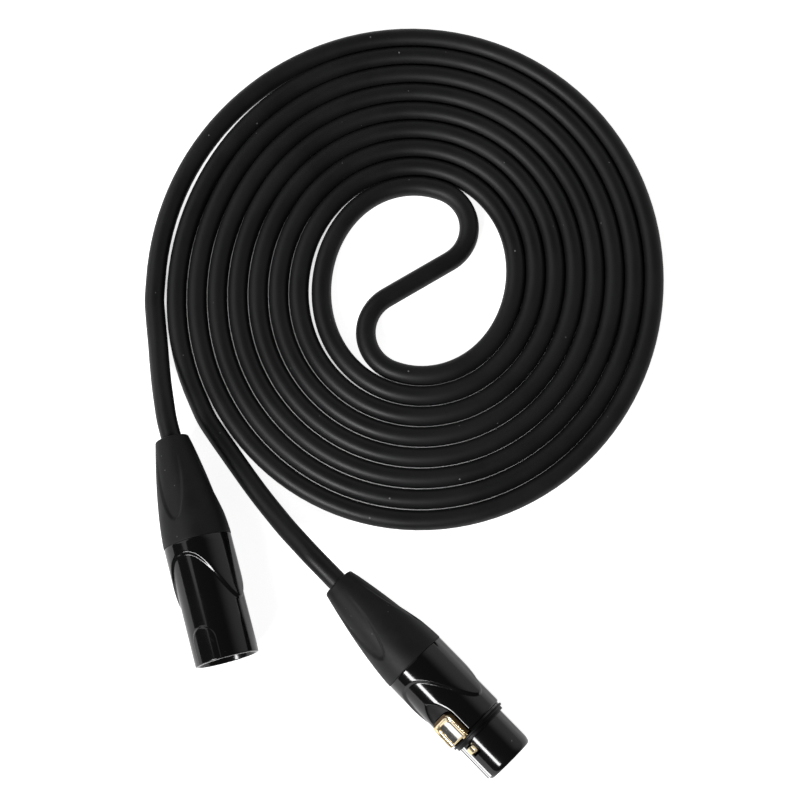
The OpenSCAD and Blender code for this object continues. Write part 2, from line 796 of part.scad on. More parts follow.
// One lever: button at the rear, arm under the ring and hook in the barrel's window
module female_latch() {
    half = button_w / 2;
    color(pale_gold)
        female()
            difference() {
                union() {
                    translate([-hook_w / 2, 0, 0]) along_x(hook_w) latch_side();
                    difference() {
                        towards_latch(button_top) button_outline(0, button_front);
                        translate([-half - over, -over, 0])
                            cube([button_w + 2 * over, button_low + over, female_len]);
                        // slanted rear end
                        translate([-half - over, 0, 0])
                            along_x(button_w + 2 * over)
                                polygon([
                                    [button_rear - over, button_top - button_slope - over],
                                    [button_rear + button_slope + over, button_top + over],
                                    [button_rear - over, button_top + over]
                                ]);
                    }
                    translate([-half, pivot_y, pivot_z])
                        rotate([0, 90, 0])
                            cylinder(r = boss_r, h = button_w, $fn = 48);
                    translate([-half, pivot_y, pivot_z - boss_r]) cube([button_w, 1.2, 2 * boss_r]);
                }
                // sunk top inside a raised rim
                difference() {
                    towards_latch(button_top + over)
                        translate([0, button_slope])
                            button_outline(-rim_w, button_front - button_slope - rim_w);
                    translate([-half, -over, 0])
                        cube([button_w, button_top - rim_depth + over, female_len]);
                }
                translate([-half - over, pivot_y, pivot_z])
                    rotate([0, 90, 0])
                        cylinder(r = pivot_r + running_gap, h = button_w + 2 * over, $fn = 48);
            }
}

// Side view of the arm and hook, as [Z, Y]
module latch_side() {
    hook_front = hook_rear + hook_len;
    hook_top = barrel_r + hook_rise;
    polygon([
        [pivot_z, arm_low], [hook_front, arm_low], [hook_front, barrel_r],
        [hook_rear + flat_hook, hook_top], [hook_rear, hook_top], [hook_rear, arm_high],
        [button_front, arm_high], [button_front, button_low + 0.2], [pivot_z, button_low + 0.2]
    ]);
}

// Extrudes a [Z, Y] outline along X
module along_x(width) {
    rotate([0, 90, 0])
        mirror([1, 0, 0])
            linear_extrude(width)
                children();
}

module female_latch_pin() {
    color(bright_metal)
        female()
            translate([-ear_half, pivot_y, pivot_z])
                rotate([0, 90, 0])
                    cylinder(r = pivot_r, h = 2 * ear_half, $fn = 48);
}

// Bent strip between the channel's floor and the arm
module female_latch_spring() {
    low = channel_floor;
    high = arm_low - 0.05;
    rear = pivot_z + boss_r + 0.6;
    front = rear + 7;
    color(bright_metal)
        female()
            translate([-spring_w / 2, 0, 0])
                along_x(spring_w)
                    polygon([
                        [rear, low], [front, low], [front + 0.6, low + 0.5], [front + 0.2, low + 0.9],
                        [rear + 0.6, high], [rear + 0.6, high - spring_t], [front - 0.2, low + 0.6],
                        [front - 0.1, low + spring_t], [rear, low + spring_t]
                    ]);
}

module female_ground_contact() { female() ground_contact(); }

module female_chuck() { female() chuck(); }

module female_gland_nut() { female() gland_nut(); }

module female_boot() { female() boot(); }

module female_cable_end() { female() cable_end(); }

module female_core_hot() { female() core(core_starts[0], pin_pos[0], core_d, "red"); }

module female_core_cold() { female() core(core_starts[2], pin_pos[2], core_d, "white"); }

module female_shield_tail() { female() core(core_starts[1], pin_pos[1], shield_d, bright_metal); }

// ---- Lead ----

// Least distance between ring points of different turns, for rings whose middles are near each other
function coil_gap(points) = min([
    for (i = [0:len(coil_route) - 1], j = [i + 8:1:len(coil_route) - 1])
        if (norm(coil_route[i] - coil_route[j]) < 1.5 * pitch)
            each [
                for (a = [0:sides - 1], b = [0:sides - 1])
                    norm(points[i * sides + a] - points[j * sides + b])
            ]
]);

module cable_coil() {
    along = unit(coil_route[1] - coil_route[0]);
    last = len(coil_route) - 1;
    echo(least_gap = coil_gap(tube_points(coil_route, cable_r, sides)), whole_length = whole_len);
    color(pvc_black)
        tube(coil_route, cable_r, sides, along, unit(coil_route[last] - coil_route[last - 1]));
}

module cable_tail_male() {
    away = unit(coil_route[0] - coil_route[1]);
    way_in = [cos(male_heading), sin(male_heading), 0];
    color(pvc_black) tube(male_route, cable_r, sides, away, way_in);
}

module cable_tail_female() {
    last = len(coil_route) - 1;
    away = unit(coil_route[last] - coil_route[last - 1]);
    way_in = [cos(female_heading), sin(female_heading), 0];
    color(pvc_black) tube(female_route, cable_r, sides, away, way_in);
}

male_shell();
male_insert();
male_pin_1();
male_pin_2();
male_pin_3();
male_ground_contact();
male_chuck();
male_gland_nut();
male_boot();
male_cable_end();
male_core_hot();
male_core_cold();
male_shield_tail();
female_shell();
female_insert();
female_socket_1();
female_socket_2();
female_socket_3();
female_ground_contact();
female_ring();
female_latch();
female_latch_pin();
female_latch_spring();
female_chuck();
female_gland_nut();
female_boot();
female_cable_end();
female_core_hot();
female_core_cold();
female_shield_tail();
cable_coil();
cable_tail_male();
cable_tail_female();
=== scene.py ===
import json
import math

import bmesh
import bpy
from mathutils import Matrix, Vector


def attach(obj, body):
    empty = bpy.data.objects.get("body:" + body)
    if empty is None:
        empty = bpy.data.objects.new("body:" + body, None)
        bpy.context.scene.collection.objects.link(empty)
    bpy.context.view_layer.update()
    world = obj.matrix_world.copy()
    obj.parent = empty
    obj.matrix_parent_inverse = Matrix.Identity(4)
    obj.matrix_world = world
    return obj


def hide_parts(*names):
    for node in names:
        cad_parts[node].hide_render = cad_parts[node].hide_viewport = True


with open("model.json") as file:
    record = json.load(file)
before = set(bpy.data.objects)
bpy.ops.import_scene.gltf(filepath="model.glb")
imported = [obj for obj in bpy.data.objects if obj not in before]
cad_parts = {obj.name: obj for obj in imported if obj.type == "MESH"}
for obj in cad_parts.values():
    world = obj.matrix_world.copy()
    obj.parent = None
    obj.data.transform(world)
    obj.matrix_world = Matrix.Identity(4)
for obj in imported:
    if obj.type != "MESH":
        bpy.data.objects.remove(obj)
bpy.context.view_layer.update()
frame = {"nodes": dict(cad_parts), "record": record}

mm = 0.001


def sine(degrees):
    return math.sin(math.radians(degrees))


def cosine(degrees):
    return math.cos(math.radians(degrees))


def smooth(x):
    # eases from 0 to 1
    x = min(1.0, max(0.0, x))
    return x * x * (3 - 2 * x)


def addObject(name, data):
    thing = bpy.data.objects.new(name, data)
    bpy.context.scene.collection.objects.link(thing)
    return thing


def lookFrom(thing, settings, unit):
    # puts a camera or lamp in its place, turned to what it is aimed at
    place = Vector(settings["place"])
    thing.location = place * unit
    thing.rotation_euler = (Vector(settings["aim"]) - place).to_track_quat("-Z", "Y").to_euler()


# in mm, with the lens and the sensor
cameraSettings = {
    "place": (-5.6, -150.5, 487.2),
    "aim": (-5.6, -38.0, 0.0),
    "lens": 72.6,
    "sensor": 36.0,
    "clipStart": 10,
}


def makeCamera(settings):
    data = bpy.data.cameras.new("camera")
    data.lens = settings["lens"]
    data.sensor_width = settings["sensor"]
    data.clip_start = settings["clipStart"] * mm
    camera = addObject("camera", data)
    lookFrom(camera, settings, mm)
    bpy.context.scene.camera = camera


makeCamera(cameraSettings)
print("camera set")


# the lead, in mm and degrees: wound in from the male end, through the middle and out again.
# A step of a tail is how far it has come from the coil, and the share of its climb to the plug
lead = {
    "diameter": 6.2,
    "coilRadius": 78.3,
    "pitch": 6.35,
    "swing": 2.2,
    "swingKept": 0.8,
    "steepest": 140,
    "drift": 1.0,
    "driftTurn": 202,
    "outerSlack": 0.9,
    "outerGapTurn": 154,
    "outerGapShare": 0.35,
    "outerGapEnd": 116,
    "innerSlack": 0.7,
    "innerGapAt": 1440,
    "innerGapHalf": 85,
    "maleIn": 0,
    "femaleIn": 150,
    "hookIn": 1545,
    "bendShare": 0.43,
    "degreesPerPoint": 3,
    "tailPieces": 4,
    "sides": 18,
    "sharpFrom": 40,
    "maleSteps": [
        (0.4, -4.5, 0), (1, -9.5, 0.03), (1.7, -14.5, 0.1), (2.4, -19.5, 0.27), (3.2, -24.5, 0.5),
        (4.1, -29.5, 0.74), (5.1, -34.5, 0.94),
    ],
    "maleReach": (7.8, -45.8),
    "femaleSteps": [
        (3.3, -5, 0), (6.7, -9.8, 0), (10.2, -14.7, 0), (13.8, -19.7, 0), (17.5, -24.6, 0.03),
        (21.4, -29.5, 0.15), (25.3, -34.3, 0.4), (29.2, -38.7, 0.7), (33, -42.9, 0.94),
    ],
    "femaleReach": (41.1, -51.2),
}
plugHeight = 10.25
maleHeading, femaleHeading = -74.4, -45.6
maleRoll, femaleRoll = 29, 46


def outward(t):
    return 1 - t / lead["hookIn"]


def spiralRadius(t):
    past = t - lead["steepest"]
    swing = lead["swing"] * (lead["swingKept"] + (1 - lead["swingKept"]) * outward(t))
    return lead["coilRadius"] - lead["pitch"] * past / 180 - swing * sine(2 * past)


def outerBow(turn, t):
    bow = max(0.0, cosine(turn - lead["outerGapTurn"])) ** 8
    share = lead["outerGapShare"]
    return lead["outerSlack"] * bow * (share if t < lead["outerGapEnd"] else (share - 1) * outward(t))


def armDrift(t):
    drift = outward(t) * lead["drift"]
    return Vector((drift * cosine(lead["driftTurn"]), drift * sine(lead["driftTurn"]), 0))


def maleArm(t):
    drawn = cosine(90 * min(1, abs(t - lead["innerGapAt"]) / lead["innerGapHalf"])) ** 2
    radius = spiralRadius(t) + outerBow(180 - t, t) - lead["innerSlack"] * drawn
    return Vector((-radius * cosine(t), radius * sine(t), 0)) + armDrift(t)


def femaleArm(t):
    radius = spiralRadius(t) + outerBow(-t, t)
    return Vector((radius * cosine(t), -radius * sine(t), 0)) + armDrift(t)


def armWay(arm, t):
    return (arm(t + 0.01) - arm(t - 0.01)).normalized()


def centreBend():
    # an arc off the spiral's end that turns on to a line through the coil's middle
    start = maleArm(lead["hookIn"])
    radius = lead["bendShare"] * start.length
    way = armWay(maleArm, lead["hookIn"])
    middle = start + radius * Vector((way.y, -way.x, 0))
    first = math.degrees(math.atan2(start.y - middle.y, start.x - middle.x))
    last = math.degrees(math.atan2(middle.y, middle.x) - math.asin(radius / middle.length)) - 90
    count = int((first - last) / lead["degreesPerPoint"])
    turns = [first + (last - first) * i / count for i in range(1, count + 1)]
    return [middle + radius * Vector((cosine(a), sine(a), 0)) for a in turns]


def throughPoints(points, pieces):
    # a smooth line through the points, with that many short pieces between two of them
    line = []
    for i in range(len(points) - 1):
        before = points[max(i - 1, 0)]
        a, b = points[i], points[i + 1]
        after = points[min(i + 2, len(points) - 1)]
        for k in range(pieces):
            u = k / pieces
            line.append(
                0.5 * (2 * a + (b - before) * u + (2 * before - 5 * a + 4 * b - after) * u ** 2
                       + (3 * a - before - 3 * b + after) * u ** 3)
            )
    return line + [points[-1]]


def tailPoints(start, steps, end, heading, rest):
    # over the chosen steps, then straight into the boot
    way = Vector((cosine(heading), sine(heading), 0))
    end = Vector((end.x, end.y, plugHeight))
    points = [start + Vector((x, y, share * (plugHeight - rest))) for x, y, share in steps]
    return points + [end - lead["diameter"] * way, end, end + 2 * way]


def leadRoute():
    rest = Vector((0, 0, lead["diameter"] / 2))
    step = lead["degreesPerPoint"]
    maleStart = maleArm(lead["maleIn"]) - lead["diameter"] * armWay(maleArm, lead["maleIn"])
    femaleStart = femaleArm(lead["femaleIn"]) - lead["diameter"] * armWay(femaleArm, lead["femaleIn"])
    bend = centreBend()
    maleTurns = [maleArm(t) for t in range(lead["maleIn"], lead["hookIn"] + 1, step)]
    femaleTurns = [femaleArm(t) for t in range(lead["femaleIn"], lead["hookIn"] + 1, step)]
    coil = maleTurns + bend + [Vector()] + [-p for p in reversed(bend)] + femaleTurns[::-1]
    coil = [p + rest for p in coil]
    maleEnd = maleStart + Vector((*lead["maleReach"], 0))
    femaleEnd = femaleStart + Vector((*lead["femaleReach"], 0))
    maleTail = tailPoints(maleStart + rest, lead["maleSteps"], maleEnd, maleHeading, rest.z)
    femaleTail = tailPoints(femaleStart + rest, lead["femaleSteps"], femaleEnd, femaleHeading, rest.z)
    pieces = lead["tailPieces"]
    maleTail = throughPoints([coil[1], coil[0], maleStart + rest] + maleTail, pieces)[pieces:]
    femaleTail = throughPoints([coil[-2], coil[-1], femaleStart + rest] + femaleTail, pieces)[pieces:]
    return maleTail[::-1] + coil[1:-1] + femaleTail, maleEnd, femaleEnd


route, maleEnd, femaleEnd = leadRoute()


def evenAngles(count):
    return [360 * i / count for i in range(count)]


def bridgeRings(bm, rings, closed):
    # faces between each ring of points and the next, and from the last to the first if closed
    made = [[bm.verts.new(p) for p in ring] for ring in rings]
    for a, b in zip(made, made[1:] + made[:1] if closed else made[1:]):
        for i in range(len(a)):
            j = (i + 1) % len(a)
            bm.faces.new((a[i], a[j], b[j], b[i]))
    return made


def skinOver(bm, rings):
    # a solid over rings of points, flat at both ends
    made = bridgeRings(bm, rings, False)
    bm.faces.new(made[0][::-1])
    bm.faces.new(made[-1])


def faceOutwards(bm):
    # every closed skin of faces looks out of its solid
    bmesh.ops.recalc_face_normals(bm, faces=bm.faces)
    left = set(bm.faces)
    while left:
        skin, near, volume = [], [left.pop()], 0.0
        while near:
            face = near.pop()
            skin.append(face)
            corners = [v.co for v in face.verts]
            volume += sum(corners[0].dot(a.cross(b)) for a, b in zip(corners[1:], corners[2:]))
            for other in (f for edge in face.edges for f in edge.link_faces if f in left):
                left.discard(other)
                near.append(other)
        if volume < 0:
            bmesh.ops.reverse_faces(bm, faces=skin)


def toMesh(name, bm):
    faceOutwards(bm)
    mesh = bpy.data.meshes.new(name)
    bm.to_mesh(mesh)
    bm.free()
    return mesh


def smoothMesh(name, bm, sharpFrom):
    # smooth shading, but for edges that turn by more than sharpFrom degrees
    mesh = toMesh(name, bm)
    mesh.shade_smooth()
    mesh.set_sharp_from_angle(angle=math.radians(sharpFrom))
    return mesh


def makeCord(name, points, settings):
    # a closed tube round the points
    radius, sides, last = settings["diameter"] / 2, settings["sides"], len(points) - 1
    rings = []
    for i, p in enumerate(points):
        way = (points[min(i + 1, last)] - points[max(i - 1, 0)]).normalized()
        side = way.cross(Vector((0, 0, 1))).normalized()
        up = side.cross(way)
        rings.append([
            (p + radius * (cosine(a) * side + sine(a) * up)) * mm
            for a in evenAngles(sides)
        ])
    bm = bmesh.new()
    skinOver(bm, rings)
    return addObject(name, smoothMesh(name, bm, settings["sharpFrom"]))


leadCord = makeCord("leadCord", route, lead)
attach(leadCord, "lead")
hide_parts("cable_coil", "cable_tail_male", "cable_tail_female")


def plugFrame(end, heading, roll):
    # a plug's own space: Z runs forward from the boot's tip, Y points at the latch side
    stand = Matrix.Rotation(math.radians(90), 4, "Z") @ Matrix.Rotation(math.radians(90), 4, "X")
    turn = Matrix.Rotation(math.radians(heading), 4, "Z") @ Matrix.Rotation(math.radians(roll), 4, "X")
    return Matrix.Scale(mm, 4) @ Matrix.Translation((end.x, end.y, plugHeight)) @ turn @ stand


malePlug = plugFrame(maleEnd, maleHeading, maleRoll)
femalePlug = plugFrame(femaleEnd, femaleHeading, femaleRoll)


def roundPoint(theta, radius, z):
    # theta is measured from the latch side
    return Vector((radius * sine(theta), radius * cosine(theta), z))


def roundRings(profile, angles):
    # an outline of (radius, z) turned round the plug's axis
    return [[roundPoint(theta, r, z) for theta in angles] for r, z in profile]


def arcCorner(radius, z, size, first, last, pieces=4):
    # points of a fillet round (radius, z), angles in degrees from +radius towards +z
    return [
        (radius + size * cosine(first + (last - first) * i / pieces),
         z + size * sine(first + (last - first) * i / pieces))
        for i in range(pieces + 1)
    ]


def prism(outline, axis, low, high):
    # a closed solid over a flat outline; axis says which way it is raised
    place = {
        "y": lambda a, b, h: (a, h, b),
        "x": lambda a, b, h: (h, a, b),
        "z": lambda a, b, h: (a, b, h),
    }[axis]
    bm = bmesh.new()
    skinOver(bm, [[place(a, b, h) for a, b in outline] for h in (low, high)])
    bmesh.ops.recalc_face_normals(bm, faces=bm.faces)
    return bm


def cutOut(bm, cutters):
    # takes each cutter's solid out of the piece and returns what is left
    body = addObject("body", toMesh("body", bm))
    tools = []
    for i, cutter in enumerate(cutters):
        tool = addObject(f"cutter{i}", toMesh(f"cutter{i}", cutter))
        cut = body.modifiers.new(f"cut{i}", "BOOLEAN")
        cut.operation = "DIFFERENCE"
        cut.solver = "EXACT"
        cut.object = tool
        tools.append(tool)
    bpy.context.view_layer.update()
    left = bmesh.new()
    left.from_object(body, bpy.context.evaluated_depsgraph_get())
    for thing in tools + [body]:
        data = thing.data
        bpy.data.objects.remove(thing)
        bpy.data.meshes.remove(data)
    return left


def joinOn(bm, extra):
    # adds another solid to the piece
    spare = toMesh("spare", extra)
    bm.from_mesh(spare)
    bpy.data.meshes.remove(spare)


slotPieces = [(leadCord, "cable_jacket")]


def addPiece(name, bm, plug, body, slot, node, sharpFrom=35):
    # from the plug's own space to where the plug lies, in the node's stead
    bm.transform(plug)
    piece = addObject(name, smoothMesh(name, bm, sharpFrom))
    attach(piece, body)
    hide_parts(node)
    slotPieces.append((piece, slot))
    return piece


def outlineDistance(outline, x, z):
    # how far (x, z) lies inside a closed outline, below 0 outside it
    best, inside = 1e9, False
    ax, az = outline[-1]
    for bx, bz in outline:
        dx, dz = bx - ax, bz - az
        u = ((x - ax) * dx + (z - az) * dz) / (dx * dx + dz * dz or 1e-9)
        u = min(1.0, max(0.0, u))
        best = min(best, math.hypot(x - ax - u * dx, z - az - u * dz))
        if (az > z) != (bz > z) and x < ax + (z - az) * dx / dz:
            inside = not inside
        ax, az = bx, bz
    return best if inside else -best


# the plugs' sizes are in mm and degrees; rear, front, From, To and End are measured from the boot's tip

# rubber boots: a bowed cone with three scooped finger grips
bootShape = {
    "length": 32.5,
    "seamRadius": 10.25,
    "tipRadius": 5.0,
    "bow": 1.5,
    "tipRound": 0.8,
    "seamRound": 0.3,
    "holeRadius": 3.13,
    "holeEdge": 0.25,
    "rowGap": 0.2,
    "seamGap": 0.05,
    "nutRadius": 8.05,
    "nutDepth": 7.55,
    "turn": 4.5,
    "scoops": 3,
    "scoopWidth": 8.4,
    "scoopDepth": 0.8,
    "scoopFrom": 3.0,
    "scoopTo": 26.0,
    "scoopWidest": 0.35,
    "scoopStart": 0.9,
    "scoopSpan": 75,
    "flankOut": 0.2,
    "flank": 0.9,
    "outlinePoints": 30,
    "columns": 240,
    "rows": 88,
}


def bootRadius(z):
    shape = bootShape
    share = (1 - z / shape["length"]) ** shape["bow"]
    return shape["seamRadius"] - (shape["seamRadius"] - shape["tipRadius"]) * share


def scoopHalf(u):
    half, widest, start = bootShape["scoopWidth"] / 2, bootShape["scoopWidest"], bootShape["scoopStart"]
    if u < widest:
        return half * (start + (1 - start) * u / widest)
    return half * math.sqrt(max(0.0, 1 - ((u - widest) / (1 - widest)) ** 2))


def scoopSink(theta, z, outline):
    # how deep the boot's outside lies under its plain cone there
    shape = bootShape
    sink = 0.0
    for i in range(shape["scoops"]):
        away = (theta - shape["turn"] - 360 * i / shape["scoops"] + 180) % 360 - 180
        if abs(away) > shape["scoopSpan"] or not shape["scoopFrom"] - 1 < z < shape["scoopTo"] + 1:
            continue
        inside = outlineDistance(outline, bootRadius(z) * sine(away), z)
        share = (z - shape["scoopFrom"]) / (shape["scoopTo"] - shape["scoopFrom"])
        share = min(1.0, max(0.0, share))
        sink = max(sink, shape["scoopDepth"] * share * smooth((inside + shape["flankOut"]) / shape["flank"]))
    return sink


def makeBoot(name, plug, node):
    shape = bootShape
    steps = shape["outlinePoints"]
    low, high = shape["scoopFrom"], shape["scoopTo"]
    side = [(scoopHalf(i / steps), low + (high - low) * i / steps) for i in range(steps + 1)]
    outline = side + [(-x, z) for x, z in reversed(side)][1:]
    angles = evenAngles(shape["columns"])
    tipRound, seamRound = shape["tipRound"], shape["seamRound"]
    end, edge = shape["length"], shape["holeEdge"]
    tip = arcCorner(bootRadius(tipRound) - tipRound, tipRound, tipRound, -90, -4, 6)
    seam = arcCorner(shape["seamRadius"] - seamRound, end - seamRound, seamRound, 0, 90, 5)
    first, last = tipRound + shape["rowGap"], end - seamRound - shape["seamGap"]
    rings = roundRings(tip, angles)
    for i in range(shape["rows"] + 1):
        z = first + (last - first) * i / shape["rows"]
        rings.append([roundPoint(t, bootRadius(z) - scoopSink(t, z, outline), z) for t in angles])
    inner = [
        (shape["nutRadius"], end), (shape["nutRadius"], end - shape["nutDepth"]),
        (shape["holeRadius"], end - shape["nutDepth"]), (shape["holeRadius"], edge),
        (shape["holeRadius"] + edge, 0.0),
    ]
    rings += roundRings(seam + inner, angles)
    bm = bmesh.new()
    bridgeRings(bm, rings, True)
    addPiece(name, bm, plug, "lead", "boot_rubber", node)


makeBoot("maleBoot", malePlug, "male_boot")
makeBoot("femaleBoot", femalePlug, "female_boot")
print("boots made")


# shells: a front tube and a raised mantle behind it, whose edge arches on two sides
shellShape = {
    "seam": 32.5,
    "tubeRadius": 9.5,
    "mantleRise": 0.65,
    "mantleLength": 19.7,
    "archStart": 3.8,
    "archBow": 2.75,
    "flank": 1.2,
    "boreRadius": 8.35,
    "threadRadius": 8.65,
    "threadLength": 9.0,
    "rearRound": 0.2,
    "latchColumns": 38,
    "otherColumns": 80,
    "mantleRows": 7,
    "flankRows": 7,
    "tubeRows": 106,
    "sharpFrom": 60,
}


def archAt(theta):
    # where the mantle's edge runs, and how steeply it runs forward there
    shape = shellShape
    span = shape["mantleLength"] - shape["archStart"]
    across = abs(sine(theta))
    z = shape["seam"] + shape["archStart"] + span * across ** shape["archBow"]
    slope = span * shape["archBow"] * across ** (shape["archBow"] - 1) * abs(cosine(theta))
    return z, slope / (shape["tubeRadius"] + shape["mantleRise"] / 2)


def shellAngles():
    # columns of the shell's grid: one to each degree on the latch side, and wider apart elsewhere
    near, count = shellShape["latchColumns"], shellShape["otherColumns"]
    return [i * 1.0 for i in range(-near, near + 1)] + [
        near + (360 - 2 * near) * i / count for i in range(1, count)]


def rearBore():
    # the inside of a shell's rear, wider where the gland nut screws in
    shape = shellShape
    end = shape["seam"] + shape["threadLength"]
    return [(shape["boreRadius"], end), (shape["threadRadius"], end), (shape["threadRadius"], shape["seam"])]


def onLatchSide(theta):
    return cosine(theta) >= 0.6


def shellRings(front, frontRound, relief, inner):
    # relief(theta, z) is what stands over the plain tube; inner is the inside from front to rear
    shape = shellShape
    angles = shellAngles()
    tube, rearRound = shape["tubeRadius"], shape["rearRound"]
    seam, top = shape["seam"], tube + shape["mantleRise"]
    rings = roundRings(arcCorner(top - rearRound, seam + rearRound, rearRound, -90, 0, 3), angles)
    # each column's angle, the middle of the mantle's flank there and half the flank's length along it
    columns = []
    for t in angles:
        z, slope = archAt(t)
        columns.append((t, z, shape["flank"] / 2 * math.sqrt(1 + slope * slope)))
    for i in range(1, shape["mantleRows"]):
        u = i / shape["mantleRows"]
        rings.append([
            roundPoint(t, top, seam + rearRound + u * (z - reach - seam - rearRound))
            for t, z, reach in columns
        ])
    half = shape["flankRows"]
    for i in range(2 * half + 1):
        k = i / half - 1
        rise = shape["mantleRise"] * smooth((1 - k) / 2)
        rings.append([
            roundPoint(t, tube + rise + (relief(t, z + k * reach) if i > half else 0), z + k * reach)
            for t, z, reach in columns
        ])
    for i in range(1, shape["tubeRows"]):
        u = i / shape["tubeRows"]
        row = []
        for t, z, reach in columns:
            at = z + reach + u * (front - frontRound - z - reach)
            row.append(roundPoint(t, tube + relief(t, at), at))
        rings.append(row)
    for r, z in arcCorner(-frontRound, front - frontRound, frontRound, 0, 90, 5):
        rings.append([roundPoint(t, tube + relief(t, front - frontRound) + r, z) for t in angles])
    return rings + roundRings(inner, angles)


# the male front tube: its mouth, the pad on the latch side and the catch for the latch's hook
maleFront = {
    "front": 68.5,
    "edgeRound": 0.35,
    "mouthEdge": 0.25,
    "mouthRadius": 8.15,
    "leadRadius": 8.4,
    "leadLength": 3.0,
    "landSlope": 0.2,
    "insertFace": 54.5,
    "insertSeat": 1,
    "padHalf": 3.9,
    "padLength": 10.3,
    "padRise": 0.35,
    "padFlank": 0.5,
    "catchHalf": 1.6,
    "catchTop": 9.25,
    "catchFrom": 64.6,
    "catchTo": 67.7,
    "channelTurn": 25,
    "channelHalf": 0.85,
    "channelTop": 8.85,
    "cutFrom": 7,
}


def boxPrism(halfX, lowY, highY, lowZ, highZ):
    return prism([(-halfX, lowZ), (halfX, lowZ), (halfX, highZ), (-halfX, highZ)], "y", lowY, highY)


def makeMaleShell():
    shape, shell = maleFront, shellShape
    front, half = shape["front"], shape["padHalf"]
    padMiddle = front - shape["padLength"] + half
    outline = [(half * cosine(a), padMiddle + half * sine(a)) for a in range(180, 361, 12)]
    outline += [(half, front + 2), (-half, front + 2)]

    def relief(theta, z):
        if not onLatchSide(theta) or z < padMiddle - half - 1:
            return 0.0
        inside = outlineDistance(outline, shell["tubeRadius"] * sine(theta), z)
        return shape["padRise"] * smooth((inside + shape["padFlank"] / 2) / shape["padFlank"])

    edge, landEnd = shape["mouthEdge"], front - shape["leadLength"]
    step = shape["insertFace"] - shape["insertSeat"]
    inner = [
        (shape["leadRadius"] + edge, front), (shape["leadRadius"], front - edge),
        (shape["leadRadius"], landEnd), (shape["mouthRadius"], landEnd - shape["landSlope"]),
        (shape["mouthRadius"], step), (shell["boreRadius"], step),
    ]
    bm = bmesh.new()
    bridgeRings(bm, shellRings(front, shape["edgeRound"], relief, inner + rearBore()), True)
    low = shape["cutFrom"]
    catch = boxPrism(shape["catchHalf"], low, shape["catchTop"], shape["catchFrom"], shape["catchTo"])
    channel = boxPrism(shape["channelHalf"], low, shape["channelTop"], shape["insertFace"], front + 1)
    channel.transform(Matrix.Rotation(math.radians(-shape["channelTurn"]), 4, "Z"))
    left = cutOut(bm, [catch, channel])
    addPiece("maleShell", left, malePlug, "lead", "shell_black", "male_shell", shell["sharpFrom"])


makeMaleShell()


# the latch's button; dishLip is how far each ring of the dish's edge lies in and how deep; lipSide is the
# span across where that lip takes painted shade
button = {
    "half": 4.1,
    "corner": 2.2,
    "rear": 49.05,
    "front": 57.45,
    "top": 10.3,
    "slope": 0.9,
    "edgeRound": 0.3,
    "dishHalf": 2.5,
    "dishAside": 0.1,
    "dishCorner": 1.6,
    "dishRear": 1.9,
    "dishFront": 0.45,
    "dishWall": 0.4,
    "dishBowl": 0.22,
    "dishLip": ((-0.48, 0), (-0.06, 0.03), (0.02, 0.14)),
    "dishRings": (0.1, 0.3, 0.7, 1.1, 1.6, 2.1, 2.6),
    "wallHeights": (6.3, 7.4, 8.4, 9.5),
    "lipSide": (2.4, 3.2),
    "play": 0.25,
}

# the female front tube, with a sunk field round the button
femaleFront = {
    "front": 57.4,
    "edgeRound": 0.65,
    "boreEdge": 0.15,
    "recessDepth": 0.48,
    "borderWidth": 0.65,
    "borderFall": 0.08,
    "recessRear": 43.95,
    "recessHalf": 4.35,
    "noseLength": 7.5,
    "noseBow": 0.75,
    "recessFlank": 0.4,
    "fieldSunk": (0.25, 0.7),
    "windowCut": (5, 12),
}


def buttonLoop(half, corner, rear, front):
    # a rounded rear and a square front, always with the same number of points
    corner = max(corner, 0.05)
    flat, start = half - corner, rear + corner
    loop = [(half, front + (start - front) * i / 14) for i in range(14)]
    loop += [(flat + corner * cosine(a), start - corner * sine(a)) for a in range(0, 91, 9)]
    loop += [(flat - 2 * flat * i / 8, rear) for i in range(1, 8)]
    loop += [(-flat - corner * sine(a), start - corner * cosine(a)) for a in range(0, 91, 9)]
    loop += [(-half, start + (front - start) * i / 14) for i in range(1, 15)]
    return loop + [(-half + 2 * half * i / 10, front) for i in range(1, 10)]


def makeFemaleShell():
    shape, shell = femaleFront, shellShape
    front, wide = shape["front"], shape["recessHalf"]
    nose, steps = [], 24
    for i in range(-steps, steps + 1):
        far = abs(i) / steps
        x = wide * sine(90 * far ** shape["noseBow"]) * (1 if i > 0 else -1)
        nose.append((x, shape["recessRear"] + shape["noseLength"] * far))
    outline = nose + [(wide, front + 2), (-wide, front + 2)]

    def relief(theta, z):
        if not onLatchSide(theta) or z < shape["recessRear"] - 2:
            return 0.0
        inside = outlineDistance(outline, shell["tubeRadius"] * sine(theta), z)
        border = (inside + shape["recessFlank"] / 2) / shape["borderWidth"] + 1
        sunk = smooth((inside + shape["recessFlank"] / 2) / shape["recessFlank"])
        return -shape["recessDepth"] * sunk - shape["borderFall"] * min(max(border, 0), 1) ** 1.5

    edge, gap = shape["boreEdge"], button["play"]
    inner = [(shell["boreRadius"] + edge, front), (shell["boreRadius"], front - edge)]
    bm = bmesh.new()
    bridgeRings(bm, shellRings(front, shape["edgeRound"], relief, inner + rearBore()), True)
    window = buttonLoop(button["half"] + gap, button["corner"] + gap, button["rear"] - gap, front + 1)
    left = cutOut(bm, [prism(window, "y", *shape["windowCut"])])
    # the sunk field is matte
    least, most = shape["fieldSunk"]
    for face in left.faces:
        spot = face.calc_center_median()
        sunk = shell["tubeRadius"] - math.hypot(spot.x, spot.y)
        if spot.y > 6 and least < sunk < most and outlineDistance(outline, spot.x, spot.z) > 0.02:
            face.material_index = 1
    return addPiece(
        "femaleShell", left, femalePlug, "lead", "shell_black", "female_shell", shell["sharpFrom"])


femaleShell = makeFemaleShell()
print("shells made")


